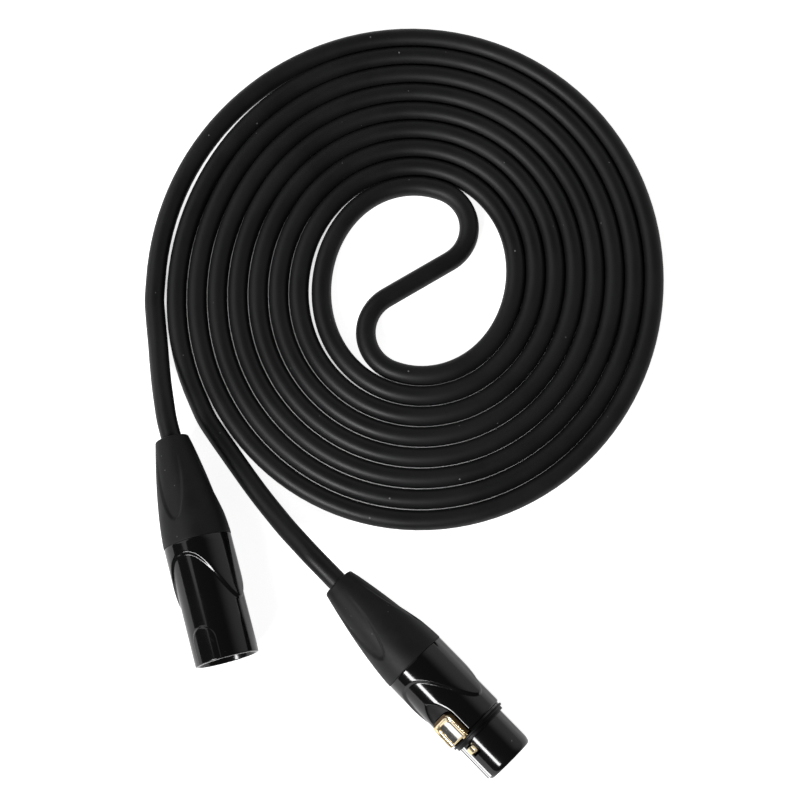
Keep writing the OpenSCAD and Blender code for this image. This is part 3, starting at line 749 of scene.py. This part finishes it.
# the rubber ring between the female shell and the barrel
ringShape = {
    "rear": 58.0,
    "front": 59.7,
    "lip": 0.7,
    "lipRadius": 9.45,
    "bodyRadius": 8.85,
    "boreRadius": 7.85,
    "edgeRound": 0.2,
    "columns": 144,
}


def makeRing():
    shape = ringShape
    rear, front, size = shape["rear"], shape["front"], shape["edgeRound"]
    lipEnd, body, foot = rear + shape["lip"], shape["bodyRadius"], 0.05
    profile = [(shape["boreRadius"], rear)]
    profile += arcCorner(shape["lipRadius"] - size, rear + size, size, -90, 0)
    profile += arcCorner(shape["lipRadius"] - size, lipEnd - size, size, 0, 80)
    profile += [(body + foot, lipEnd), (body, lipEnd + foot)]
    profile += arcCorner(body - size, front - size, size, 0, 90)
    profile += [(shape["boreRadius"], front)]
    bm = bmesh.new()
    bridgeRings(bm, roundRings(profile, evenAngles(shape["columns"])), True)
    addPiece("femaleRing", bm, femalePlug, "lead", "ring_rubber", "female_ring")


makeRing()


# the insert: its body inside the shell, and the barrel that plugs in, with a rib beside the latch
barrelShape = {
    "rear": 47.5,
    "bodyRadius": 8.3,
    "shoulder": 57.35,
    "grooveRadius": 7.8,
    "grooveEnd": 59.75,
    "radius": 8.0,
    "front": 71.8,
    "noseLength": 2.2,
    "noseFall": 0.85,
    "ribTurn": 25,
    "ribHalf": 0.7,
    "ribRise": 0.7,
    "ribEnd": 70.9,
    "ribEdge": 0.28,
    "ribFoot": 0.42,
    "ribFootSunk": 0.12,
    "ribRoot": 7.4,
    "flangeRadius": 9.0,
    "flangeFrom": 57.45,
    "flangeTo": 57.95,
    "pocketHalf": 4.35,
    "pocketFloor": 3.65,
    "pocketEnd": 58.0,
    "channelHalf": 1.55,
    "channelFloor": 3.25,
    "channelTop": 7.05,
    "channelFrom": 49.5,
    "windowFrom": 60.2,
    "windowTo": 63.9,
    "contactSpread": 3.81,
    "contactRadius": 1.95,
    "contactEnd": 70.8,
    "faceHoleRadius": 1.55,
    "cutTop": 12,
    "apart": 0.01,
    "columns": 144,
}


def roundPrism(x, y, radius, low, high):
    outline = [(x + radius * cosine(a), y + radius * sine(a)) for a in evenAngles(36)]
    return prism(outline, "z", low, high)


def makeBarrel():
    shape = barrelShape
    rear, front, fall = shape["rear"], shape["front"], shape["noseFall"]
    groove, grooveEnd, radius = shape["grooveRadius"], shape["grooveEnd"], shape["radius"]
    profile = [
        (shape["bodyRadius"], rear), (shape["bodyRadius"], shape["shoulder"]),
        (groove, shape["shoulder"]), (groove, shape["flangeFrom"]),
        (shape["flangeRadius"], shape["flangeFrom"]), (shape["flangeRadius"], shape["flangeTo"]),
        (groove, shape["flangeTo"]), (groove, grooveEnd),
        (radius - 0.1, grooveEnd), (radius, grooveEnd + 0.1),
    ]
    profile += [
        (radius - fall * (1 - cosine(a)), front - shape["noseLength"] * (1 - sine(a)))
        for a in range(0, 91, 9)
    ]
    bm = bmesh.new()
    skinOver(bm, roundRings(profile, evenAngles(shape["columns"])))
    # pocket, channel and window for the latch; no two cuts share a plane
    channel, floor, top, apart = shape["channelHalf"], shape["channelFloor"], shape["cutTop"], shape["apart"]
    cutters = [
        boxPrism(shape["pocketHalf"], shape["pocketFloor"], top, rear - 1, shape["pocketEnd"]),
        boxPrism(channel, floor, shape["channelTop"], shape["channelFrom"], shape["windowTo"] - 2 * apart),
        boxPrism(channel + apart, floor + apart, top, shape["windowFrom"], shape["windowTo"]),
    ]
    spread = shape["contactSpread"]
    for x, y in ((-spread, 0), (spread, 0), (0, -spread)):
        cutters.append(roundPrism(x, y, shape["contactRadius"], rear - 1, shape["contactEnd"]))
        cutters.append(roundPrism(x, y, shape["faceHoleRadius"], shape["contactEnd"] - 1, front + 1))
    left = cutOut(bm, cutters)
    # the rib has slanted shoulders and a slanted foot
    half, edge, foot = shape["ribHalf"], shape["ribEdge"], shape["ribFoot"]
    top, low, root = radius + shape["ribRise"], radius - shape["ribFootSunk"], shape["ribRoot"]
    side = [(half + foot, low), (half, low + foot), (half, top - edge), (half - edge, top)]
    outline = [(-half - foot, root), (half + foot, root)] + side + [(-x, y) for x, y in reversed(side)]
    rib = prism(outline, "z", grooveEnd, shape["ribEnd"])
    rib.transform(Matrix.Rotation(math.radians(shape["ribTurn"]), 4, "Z"))
    joinOn(left, rib)
    addPiece("barrel", left, femalePlug, "lead", "insert_black", "female_insert")


makeBarrel()
print("ring and barrel made")


# what the button carries: an arm with a hook, and the boss that turns on the pivot pin
latchShape = {
    "armHalf": 1.3,
    "armLow": 5.2,
    "armHigh": 6.8,
    "armFrom": 50.4,
    "hookRear": 60.8,
    "hookFront": 63.3,
    "hookLevel": 1.9,
    "hookTop": 9.1,
    "hookShoulder": 8.0,
    "edgeRound": 0.14,
    "pivotY": 5.4,
    "pivotZ": 49.4,
    "bossRadius": 1.5,
    "pivotHole": 0.84,
    "sharpFrom": 50,
}


def lower(a, b, ease):
    # the lower of two heights, eased where they meet
    near = max(ease - abs(a - b), 0) / ease
    return min(a, b) - near * near * ease / 4


def buttonRings():
    # the button from the foot of its walls, over its rim and down into its dish
    top, size = button["top"], button["edgeRound"]
    rear, front, slopeEnd = button["rear"], button["front"], button["rear"] + button["slope"]

    def outer(inset, y):
        loop = buttonLoop(button["half"] - inset, button["corner"] - inset, rear + inset, front - inset)
        return [
            Vector((x, lower(y, top - max(0.0, slopeEnd - z) - 0.25 * inset, 0.3), z))
            for x, z in loop
        ]

    def dish(inset, fallAt):
        loop = buttonLoop(
            button["dishHalf"] - inset, button["dishCorner"] - inset,
            rear + button["dishRear"] + inset, front - button["dishFront"] - inset)
        return [Vector((x + button["dishAside"], top - fallAt(x), z)) for x, z in loop]

    def troughAt(x):
        # deepest along its middle
        return button["dishWall"] + button["dishBowl"] * (1 - (x / button["dishHalf"]) ** 2)

    inset = size + 0.02
    crest = buttonLoop(button["half"] - inset, button["corner"] - inset, slopeEnd, front - inset)
    rings = [outer(0, y) for y in button["wallHeights"]] + [outer(0, top - size)]
    rings += [outer(size * a, top - size * b) for a, b in ((0.13, 0.5), (0.5, 0.13), (1, 0))]
    rings.append([Vector((x, top, z)) for x, z in crest])
    rings += [dish(inset, lambda x: fall) for inset, fall in button["dishLip"]]
    return rings + [dish(inset, troughAt) for inset in button["dishRings"]]


def makeLatch():
    shape, top = latchShape, button["top"]
    bm = bmesh.new()
    skinOver(bm, buttonRings())
    bmesh.ops.remove_doubles(bm, verts=bm.verts, dist=0.002)
    faceOutwards(bm)
    # painted shade: the walls, the rear slope and a thin lip along one side of the dish take a dark brown
    # where shade falls, and the dish floor takes a near-white painted reflection
    lipFrom, lipTo = button["lipSide"]
    for face in bm.faces:
        spot, way = face.calc_center_median(), face.normal
        deep = top - spot.y
        wall = deep > 0.5 and abs(way.x) > 0.7
        lip = 0.005 < deep < 0.2 and lipFrom < spot.x < lipTo and way.x < -0.03
        slope = way.z < -0.3 and spot.z < button["rear"] + button["slope"]
        # index 1 carries the painted shade, index 2 the painted reflection in the dish floor
        face.material_index = 1 if wall or lip or slope else 2 if deep > 0.2 and way.y > 0.5 else 0
    # arm and hook
    side = [
        (shape["armLow"], shape["armFrom"]), (shape["armLow"], shape["hookFront"]),
        (shape["hookShoulder"], shape["hookFront"]),
        (shape["hookTop"], shape["hookRear"] + shape["hookLevel"]), (shape["hookTop"], shape["hookRear"]),
        (shape["armHigh"], shape["hookRear"]), (shape["armHigh"], shape["armFrom"]),
    ]
    arm = prism(side, "x", -shape["armHalf"], shape["armHalf"])
    bmesh.ops.bevel(
        arm, geom=arm.edges[:], offset=shape["edgeRound"], segments=2, affect="EDGES", profile=0.5)
    # boss round the pivot pin
    half, hole, rim = button["half"], shape["pivotHole"], shape["bossRadius"]
    rings = [
        [(x, shape["pivotY"] + r * sine(a), shape["pivotZ"] + r * cosine(a)) for a in evenAngles(36)]
        for r, x in ((hole, -half), (rim, -half), (rim, half), (hole, half))
    ]
    boss = bmesh.new()
    bridgeRings(boss, rings, True)
    joinOn(bm, arm)
    joinOn(bm, boss)
    return addPiece("latch", bm, femalePlug, "latch", "latch_gold", "female_latch", shape["sharpFrom"])


latch = makeLatch()
print("latch made")


def newGroup(name, inputs, outputs):
    # the group, its input and output nodes, and where a point lies on the piece
    group = bpy.data.node_groups.new(name, "ShaderNodeTree")
    for label, value in inputs:
        socket = group.interface.new_socket(name=label, in_out="INPUT", socket_type="NodeSocketFloat")
        socket.default_value = value
    for label in outputs:
        group.interface.new_socket(name=label, in_out="OUTPUT", socket_type="NodeSocketFloat")
    place = group.nodes.new("ShaderNodeTexCoord").outputs["Object"]
    return group, group.nodes.new("NodeGroupInput"), group.nodes.new("NodeGroupOutput"), place


def feed(tree, socket, value):
    # a number is set on the socket, and another node's output is linked to it
    if isinstance(value, (int, float)):
        socket.default_value = value
    else:
        tree.links.new(value, socket)


def mathNode(tree, kind, *values):
    node = tree.nodes.new("ShaderNodeMath")
    node.operation = kind
    for socket, value in zip(node.inputs, values):
        feed(tree, socket, value)
    return node.outputs[0]


def rampBetween(tree, value, low, high, first=0.0, last=1.0):
    node = tree.nodes.new("ShaderNodeMapRange")
    node.interpolation_type = "SMOOTHSTEP"
    labels = ("Value", "From Min", "From Max", "To Min", "To Max")
    for label, x in zip(labels, (value, low, high, first, last)):
        feed(tree, node.inputs[label], x)
    return node.outputs["Result"]


def noiseNode(tree, vector, scale, detail=3.0, roughness=0.5):
    node = tree.nodes.new("ShaderNodeTexNoise")
    node.inputs["Detail"].default_value = detail
    node.inputs["Roughness"].default_value = roughness
    tree.links.new(vector, node.inputs["Vector"])
    feed(tree, node.inputs["Scale"], scale)
    return node.outputs["Fac"]


def makeGrain():
    # fine moulded texture; Height is for bumps, Patches varies slowly over the surface
    group, given, out, place = newGroup(
        "grain", [("Scale", 2000), ("Patch Scale", 60)], ["Height", "Patches"])
    fine = noiseNode(group, place, given.outputs["Scale"], 2, 0.6)
    coarse = noiseNode(group, place, mathNode(group, "MULTIPLY", given.outputs["Scale"], 0.23), 2, 0.5)
    height = mathNode(group, "MULTIPLY_ADD", fine, 0.6, mathNode(group, "MULTIPLY", coarse, 0.4))
    group.links.new(height, out.inputs["Height"])
    patches = noiseNode(group, place, given.outputs["Patch Scale"], 3, 0.55)
    group.links.new(rampBetween(group, patches, 0.35, 0.65), out.inputs["Patches"])
    return group


def makeSpecks():
    # sparse specks of dust: Size is their radius against the cell, Share how many cells have one
    group, given, out, place = newGroup(
        "specks", [("Scale", 500), ("Size", 0.12), ("Share", 0.15)], ["Mask"])
    cells = group.nodes.new("ShaderNodeTexVoronoi")
    group.links.new(place, cells.inputs["Vector"])
    group.links.new(given.outputs["Scale"], cells.inputs["Scale"])
    split = group.nodes.new("ShaderNodeSeparateColor")
    group.links.new(cells.outputs["Color"], split.inputs["Color"])
    has = mathNode(group, "LESS_THAN", split.outputs["Red"], given.outputs["Share"])
    varied = mathNode(group, "ADD", split.outputs["Green"], 0.4)
    size = mathNode(group, "MULTIPLY", given.outputs["Size"], varied)
    core = mathNode(group, "MULTIPLY", size, 0.5)
    near = rampBetween(group, cells.outputs["Distance"], core, size, 1.0, 0.0)
    group.links.new(mathNode(group, "MULTIPLY", has, near), out.inputs["Mask"])
    return group


def makeScuffs():
    # long thin marks along a direction: Turn is the heading of the marks, in radians
    group, given, out, place = newGroup(
        "scuffs", [("Scale", 900), ("Turn", 0), ("Stretch", 0.04), ("Share", 0.62)], ["Marks", "Lines"])
    turned = group.nodes.new("ShaderNodeVectorRotate")
    turned.rotation_type = "Z_AXIS"
    group.links.new(place, turned.inputs["Vector"])
    group.links.new(mathNode(group, "MULTIPLY", given.outputs["Turn"], -1), turned.inputs["Angle"])
    parts = group.nodes.new("ShaderNodeSeparateXYZ")
    group.links.new(turned.outputs["Vector"], parts.inputs["Vector"])
    squeezed = group.nodes.new("ShaderNodeCombineXYZ")
    along = mathNode(group, "MULTIPLY", parts.outputs["X"], given.outputs["Stretch"])
    group.links.new(along, squeezed.inputs["X"])
    group.links.new(parts.outputs["Y"], squeezed.inputs["Y"])
    group.links.new(parts.outputs["Z"], squeezed.inputs["Z"])
    lines = noiseNode(group, squeezed.outputs["Vector"], given.outputs["Scale"], 2, 0.6)
    group.links.new(lines, out.inputs["Lines"])
    full = mathNode(group, "ADD", given.outputs["Share"], 0.06)
    marks = rampBetween(group, lines, given.outputs["Share"], full)
    group.links.new(marks, out.inputs["Marks"])
    return group


grain, specks, scuffs = makeGrain(), makeSpecks(), makeScuffs()
print("effects made")


class Finish:
    # a Principled material, with the effects it takes feeding its colour, roughness and bump
    def __init__(self, name, colour, roughness, metallic=0.0, specular=0.5):
        self.material = bpy.data.materials.new(name)
        self.material.use_nodes = True
        self.tree = self.material.node_tree
        self.shader = self.tree.nodes["Principled BSDF"]
        self.shader.inputs["Metallic"].default_value = metallic
        self.shader.inputs["Specular IOR Level"].default_value = specular
        self.shader.inputs["Base Color"].default_value = (*colour, 1)
        self.shader.inputs["Roughness"].default_value = roughness
        self.colour = self.height = None
        self.roughness = roughness

    def effect(self, group, **values):
        node = self.tree.nodes.new("ShaderNodeGroup")
        node.node_tree = group
        for label, value in values.items():
            node.inputs[label.replace("_", " ")].default_value = value
        return node.outputs

    def tint(self, mask, colour):
        # another colour where the mask is
        mix = self.tree.nodes.new("ShaderNodeMix")
        mix.data_type = "RGBA"
        self.tree.links.new(mask, mix.inputs["Factor"])
        if self.colour:
            self.tree.links.new(self.colour, mix.inputs["A"])
        else:
            mix.inputs["A"].default_value = self.shader.inputs["Base Color"].default_value
        mix.inputs["B"].default_value = (*colour, 1)
        self.colour = mix.outputs["Result"]
        self.tree.links.new(self.colour, self.shader.inputs["Base Color"])
        return self

    def roughen(self, mask, amount):
        # more roughness, or less below 0, where the mask is
        self.roughness = mathNode(self.tree, "MULTIPLY_ADD", mask, amount, self.roughness)
        self.tree.links.new(self.roughness, self.shader.inputs["Roughness"])
        return self

    def raiseBy(self, mask, amount):
        # relief in mm where the mask is
        if self.height:
            self.height = mathNode(self.tree, "MULTIPLY_ADD", mask, amount * mm, self.height)
        else:
            self.height = mathNode(self.tree, "MULTIPLY", mask, amount * mm)
            bump = self.tree.nodes.new("ShaderNodeBump")
            bump.inputs["Distance"].default_value = 1.0
            self.tree.links.new(bump.outputs["Normal"], self.shader.inputs["Normal"])
            self.bump = bump
        self.tree.links.new(self.height, self.bump.inputs["Height"])
        return self


headingOf = {"male": math.radians(maleHeading), "female": math.radians(femaleHeading)}


def shellFinish(name, heading):
    # gloss black over brass: a faint wave in the gloss, hair-fine marks and dust
    finish = Finish(name, (0.0028, 0.0028, 0.003), 0.09, specular=0.42)
    wave = finish.effect(grain, Scale=420, Patch_Scale=75)
    marks = finish.effect(scuffs, Scale=1500, Turn=heading + 0.5, Stretch=0.03, Share=0.68)
    dust = finish.effect(specks, Scale=520, Size=0.09, Share=0.08)
    finish.roughen(wave["Patches"], 0.05).roughen(marks["Marks"], 0.12).roughen(dust["Mask"], 0.4)
    finish.tint(dust["Mask"], (0.12, 0.12, 0.12))
    return finish.raiseBy(wave["Height"], 0.0035)


def barrelFinish():
    finish = Finish("barrelBlack", (0.0034, 0.0034, 0.0036), 0.1, specular=0.42)
    skin = finish.effect(grain, Scale=900, Patch_Scale=110)
    dust = finish.effect(specks, Scale=420, Size=0.15, Share=0.1)
    finish.roughen(skin["Patches"], 0.04).roughen(dust["Mask"], 0.35)
    finish.tint(dust["Mask"], (0.1, 0.1, 0.1))
    return finish.raiseBy(skin["Height"], 0.003)


def fieldFinish():
    # finely blasted field round the button
    finish = Finish("fieldBlack", (0.0045, 0.0045, 0.005), 0.5, specular=0.16)
    skin = finish.effect(grain, Scale=3800, Patch_Scale=160)
    finish.roughen(skin["Patches"], 0.08)
    return finish.raiseBy(skin["Height"], 0.02)


def mouldedFinish(name, colour, roughness, relief):
    finish = Finish(name, colour, roughness)
    skin = finish.effect(grain, Scale=1500, Patch_Scale=90)
    finish.roughen(skin["Patches"], 0.12)
    finish.tint(skin["Patches"], tuple(c * 1.25 for c in colour))
    return finish.raiseBy(skin["Height"], relief)


def rubberFinish(name, colour, roughness, specular):
    # matte rubber: fine bloom, a dry patchiness and lint
    finish = Finish(name, colour, roughness, specular=specular)
    skin = finish.effect(grain, Scale=2600, Patch_Scale=140)
    dust = finish.effect(specks, Scale=650, Size=0.13, Share=0.12)
    finish.tint(skin["Patches"], tuple(c * 1.3 for c in colour))
    finish.tint(dust["Mask"], (0.09, 0.09, 0.09))
    finish.roughen(skin["Patches"], 0.08)
    return finish.raiseBy(skin["Height"], 0.022)


def jacketFinish():
    # soft matte jacket: drawn skin with a low sheen, rubbed patches and specks
    finish = Finish("cableJacket", (0.0062, 0.0062, 0.0068), 0.4, specular=0.26)
    skin = finish.effect(grain, Scale=2200, Patch_Scale=55)
    broad = finish.effect(grain, Scale=260, Patch_Scale=18)
    dust = finish.effect(specks, Scale=330, Size=0.09, Share=0.13)
    finish.tint(skin["Patches"], (0.0085, 0.0085, 0.009))
    finish.tint(dust["Mask"], (0.16, 0.16, 0.16))
    finish.roughen(broad["Patches"], 0.1).roughen(skin["Patches"], 0.06).roughen(dust["Mask"], 0.3)
    return finish.raiseBy(skin["Height"], 0.014).raiseBy(broad["Height"], 0.02)


def goldFinish():
    # pale gold plating on a cast lever: satin lines along it and duller patches
    finish = Finish("latchGold", (0.9, 0.74, 0.46), 0.14, metallic=1.0)
    skin = finish.effect(grain, Scale=1300, Patch_Scale=240)
    lines = finish.effect(scuffs, Scale=2600, Turn=headingOf["female"], Stretch=0.05, Share=0.6)
    finish.tint(skin["Patches"], (0.93, 0.81, 0.57))
    finish.roughen(skin["Patches"], 0.06).roughen(lines["Marks"], 0.1)
    return finish.raiseBy(skin["Height"], 0.004).raiseBy(lines["Lines"], 0.0015)


def metalFinish(name, colour, roughness, heading):
    finish = Finish(name, colour, roughness, metallic=1.0)
    skin = finish.effect(grain, Scale=1800, Patch_Scale=200)
    lines = finish.effect(scuffs, Scale=3000, Turn=heading, Stretch=0.06, Share=0.62)
    finish.tint(skin["Patches"], tuple(c * 0.85 for c in colour))
    finish.roughen(lines["Marks"], 0.15)
    return finish.raiseBy(lines["Lines"], 0.001)


finishes = {
    "shell_black": shellFinish("shellBlack", headingOf["male"]),
    "insert_black": barrelFinish(),
    "insert_grey": mouldedFinish("insertBlack", (0.012, 0.012, 0.013), 0.4, 0.01),
    "pin_metal": metalFinish("contactGold", (0.8, 0.62, 0.3), 0.2, headingOf["male"]),
    "spring_metal": metalFinish("springSteel", (0.6, 0.6, 0.58), 0.28, headingOf["female"]),
    "clamp_plastic": mouldedFinish("clampGrey", (0.12, 0.12, 0.13), 0.5, 0.012),
    "boot_rubber": rubberFinish("bootRubber", (0.0072, 0.0072, 0.0078), 0.5, 0.21),
    "ring_rubber": rubberFinish("ringRubber", (0.002, 0.002, 0.0023), 0.3, 0.12),
    "latch_gold": goldFinish(),
    "cable_jacket": jacketFinish(),
    "core_hot": mouldedFinish("coreRed", (0.5, 0.03, 0.02), 0.45, 0.006),
    "core_cold": mouldedFinish("coreWhite", (0.75, 0.75, 0.73), 0.45, 0.006),
    "shield_wire": metalFinish("shieldCopper", (0.7, 0.4, 0.25), 0.35, headingOf["male"]),
}
slotOf = {row["node"]: row["material_slot"] for row in frame["record"]["subparts"]}
for node, piece in frame["nodes"].items():
    piece.data.materials.clear()
    piece.data.materials.append(finishes[slotOf[node]].material)
for piece, slot in slotPieces:
    piece.data.materials.append(finishes[slot].material)
femaleShell.data.materials.append(fieldFinish().material)
# the latch's painted shade in dark brown, and the painted reflection in near-white for its dish
for name, colour, roughness in (
    ("latchPaintedShade", (0.11, 0.07, 0.032), 0.35), ("latchPaintedReflection", (0.93, 0.91, 0.85), 0.13),
):
    finish = metalFinish(name, colour, roughness, headingOf["female"])
    latch.data.materials.append(finish.material)
print("materials made")


# in metres; slits is how open the floor must lie, within reach of it, to glow at all and in full, so that
# the slits between the turns take painted shade
floorSettings = {
    "half": 6.0,
    "drop": 0.0002,
    "colour": 0.8,
    "glow": 0.9,
    "inGloss": 0.48,
    "reach": 0.004,
    "slits": (0.07, 0.15),
}


def makeFloor(settings):
    mesh = bpy.data.meshes.new("floor")
    half = settings["half"]
    corners = [(-half, -half, 0), (half, -half, 0), (half, half, 0), (-half, half, 0)]
    mesh.from_pydata(corners, [], [(0, 1, 2, 3)])
    floor = addObject("floor", mesh)
    floor.location.z = -settings["drop"]
    material = bpy.data.materials.new("floorWhite")
    material.use_nodes = True
    tree = material.node_tree
    tree.nodes.clear()
    output = tree.nodes.new("ShaderNodeOutputMaterial")
    diffuse = tree.nodes.new("ShaderNodeBsdfDiffuse")
    diffuse.inputs["Color"].default_value = (*[settings["colour"]] * 3, 1)
    # the white ground shows to the camera and in gloss, and lights nothing
    glow = tree.nodes.new("ShaderNodeEmission")
    glow.inputs["Strength"].default_value = settings["glow"]
    none = tree.nodes.new("ShaderNodeEmission")
    none.inputs["Strength"].default_value = 0.0
    rays = tree.nodes.new("ShaderNodeLightPath")
    gloss = mathNode(tree, "MULTIPLY", rays.outputs["Is Glossy Ray"], settings["inGloss"])
    seen = mathNode(tree, "MAXIMUM", rays.outputs["Is Camera Ray"], gloss)
    seen = mathNode(tree, "MAXIMUM", seen, rays.outputs["Is Transmission Ray"])
    # and not down in the slits between the turns, where the glow fades with occlusion into painted shade
    slits = tree.nodes.new("ShaderNodeAmbientOcclusion")
    slits.samples = 32
    slits.inputs["Distance"].default_value = settings["reach"]
    seen = mathNode(tree, "MULTIPLY", seen, rampBetween(tree, slits.outputs["AO"], *settings["slits"]))
    mix = tree.nodes.new("ShaderNodeMixShader")
    add = tree.nodes.new("ShaderNodeAddShader")
    tree.links.new(seen, mix.inputs[0])
    tree.links.new(none.outputs[0], mix.inputs[1])
    tree.links.new(glow.outputs[0], mix.inputs[2])
    tree.links.new(diffuse.outputs[0], add.inputs[0])
    tree.links.new(mix.outputs[0], add.inputs[1])
    tree.links.new(add.outputs[0], output.inputs["Surface"])
    mesh.materials.append(material)


# in metres and watts
softboxes = {
    "keyBox": {"place": (-0.8, -1.0, 1.0), "aim": (0, -0.05, 0), "size": (0.9, 0.3), "power": 27},
    "leftBox": {"place": (-1.2, 0.5, 0.9), "aim": (0, -0.05, 0), "size": (1.3, 1.3), "power": 6},
}


def makeSoftbox(name, settings):
    data = bpy.data.lights.new(name, "AREA")
    data.shape = "RECTANGLE"
    data.size, data.size_y = settings["size"]
    data.energy = settings["power"]
    lookFrom(addObject(name, data), settings, 1)


studio = {"dark": 0.06, "bright": 0.68, "towards": (0.62, 0.78), "from": 0.42, "to": 0.92}


def makeWorld(settings):
    # a dim room that is brighter towards one side
    world = bpy.data.worlds.new("studio")
    bpy.context.scene.world = world
    world.use_nodes = True
    tree = world.node_tree
    place = tree.nodes.new("ShaderNodeTexCoord").outputs["Generated"]
    parts = tree.nodes.new("ShaderNodeSeparateXYZ")
    tree.links.new(place, parts.inputs["Vector"])
    side = mathNode(tree, "MULTIPLY", parts.outputs["X"], settings["towards"][0])
    side = mathNode(tree, "MULTIPLY_ADD", parts.outputs["Y"], settings["towards"][1], side)
    level = rampBetween(tree, side, settings["from"], settings["to"], settings["dark"], settings["bright"])
    seen = tree.nodes.new("ShaderNodeLightPath").outputs["Is Camera Ray"]
    background = tree.nodes["Background"]
    background.inputs["Color"].default_value = (1, 1, 1, 1)
    tree.links.new(mathNode(tree, "MAXIMUM", level, seen), background.inputs["Strength"])


makeFloor(floorSettings)
makeWorld(studio)
for name, settings in softboxes.items():
    makeSoftbox(name, settings)
bpy.context.scene.view_settings.view_transform = "Standard"
print("floor and lights made")

bpy.context.view_layer.update()
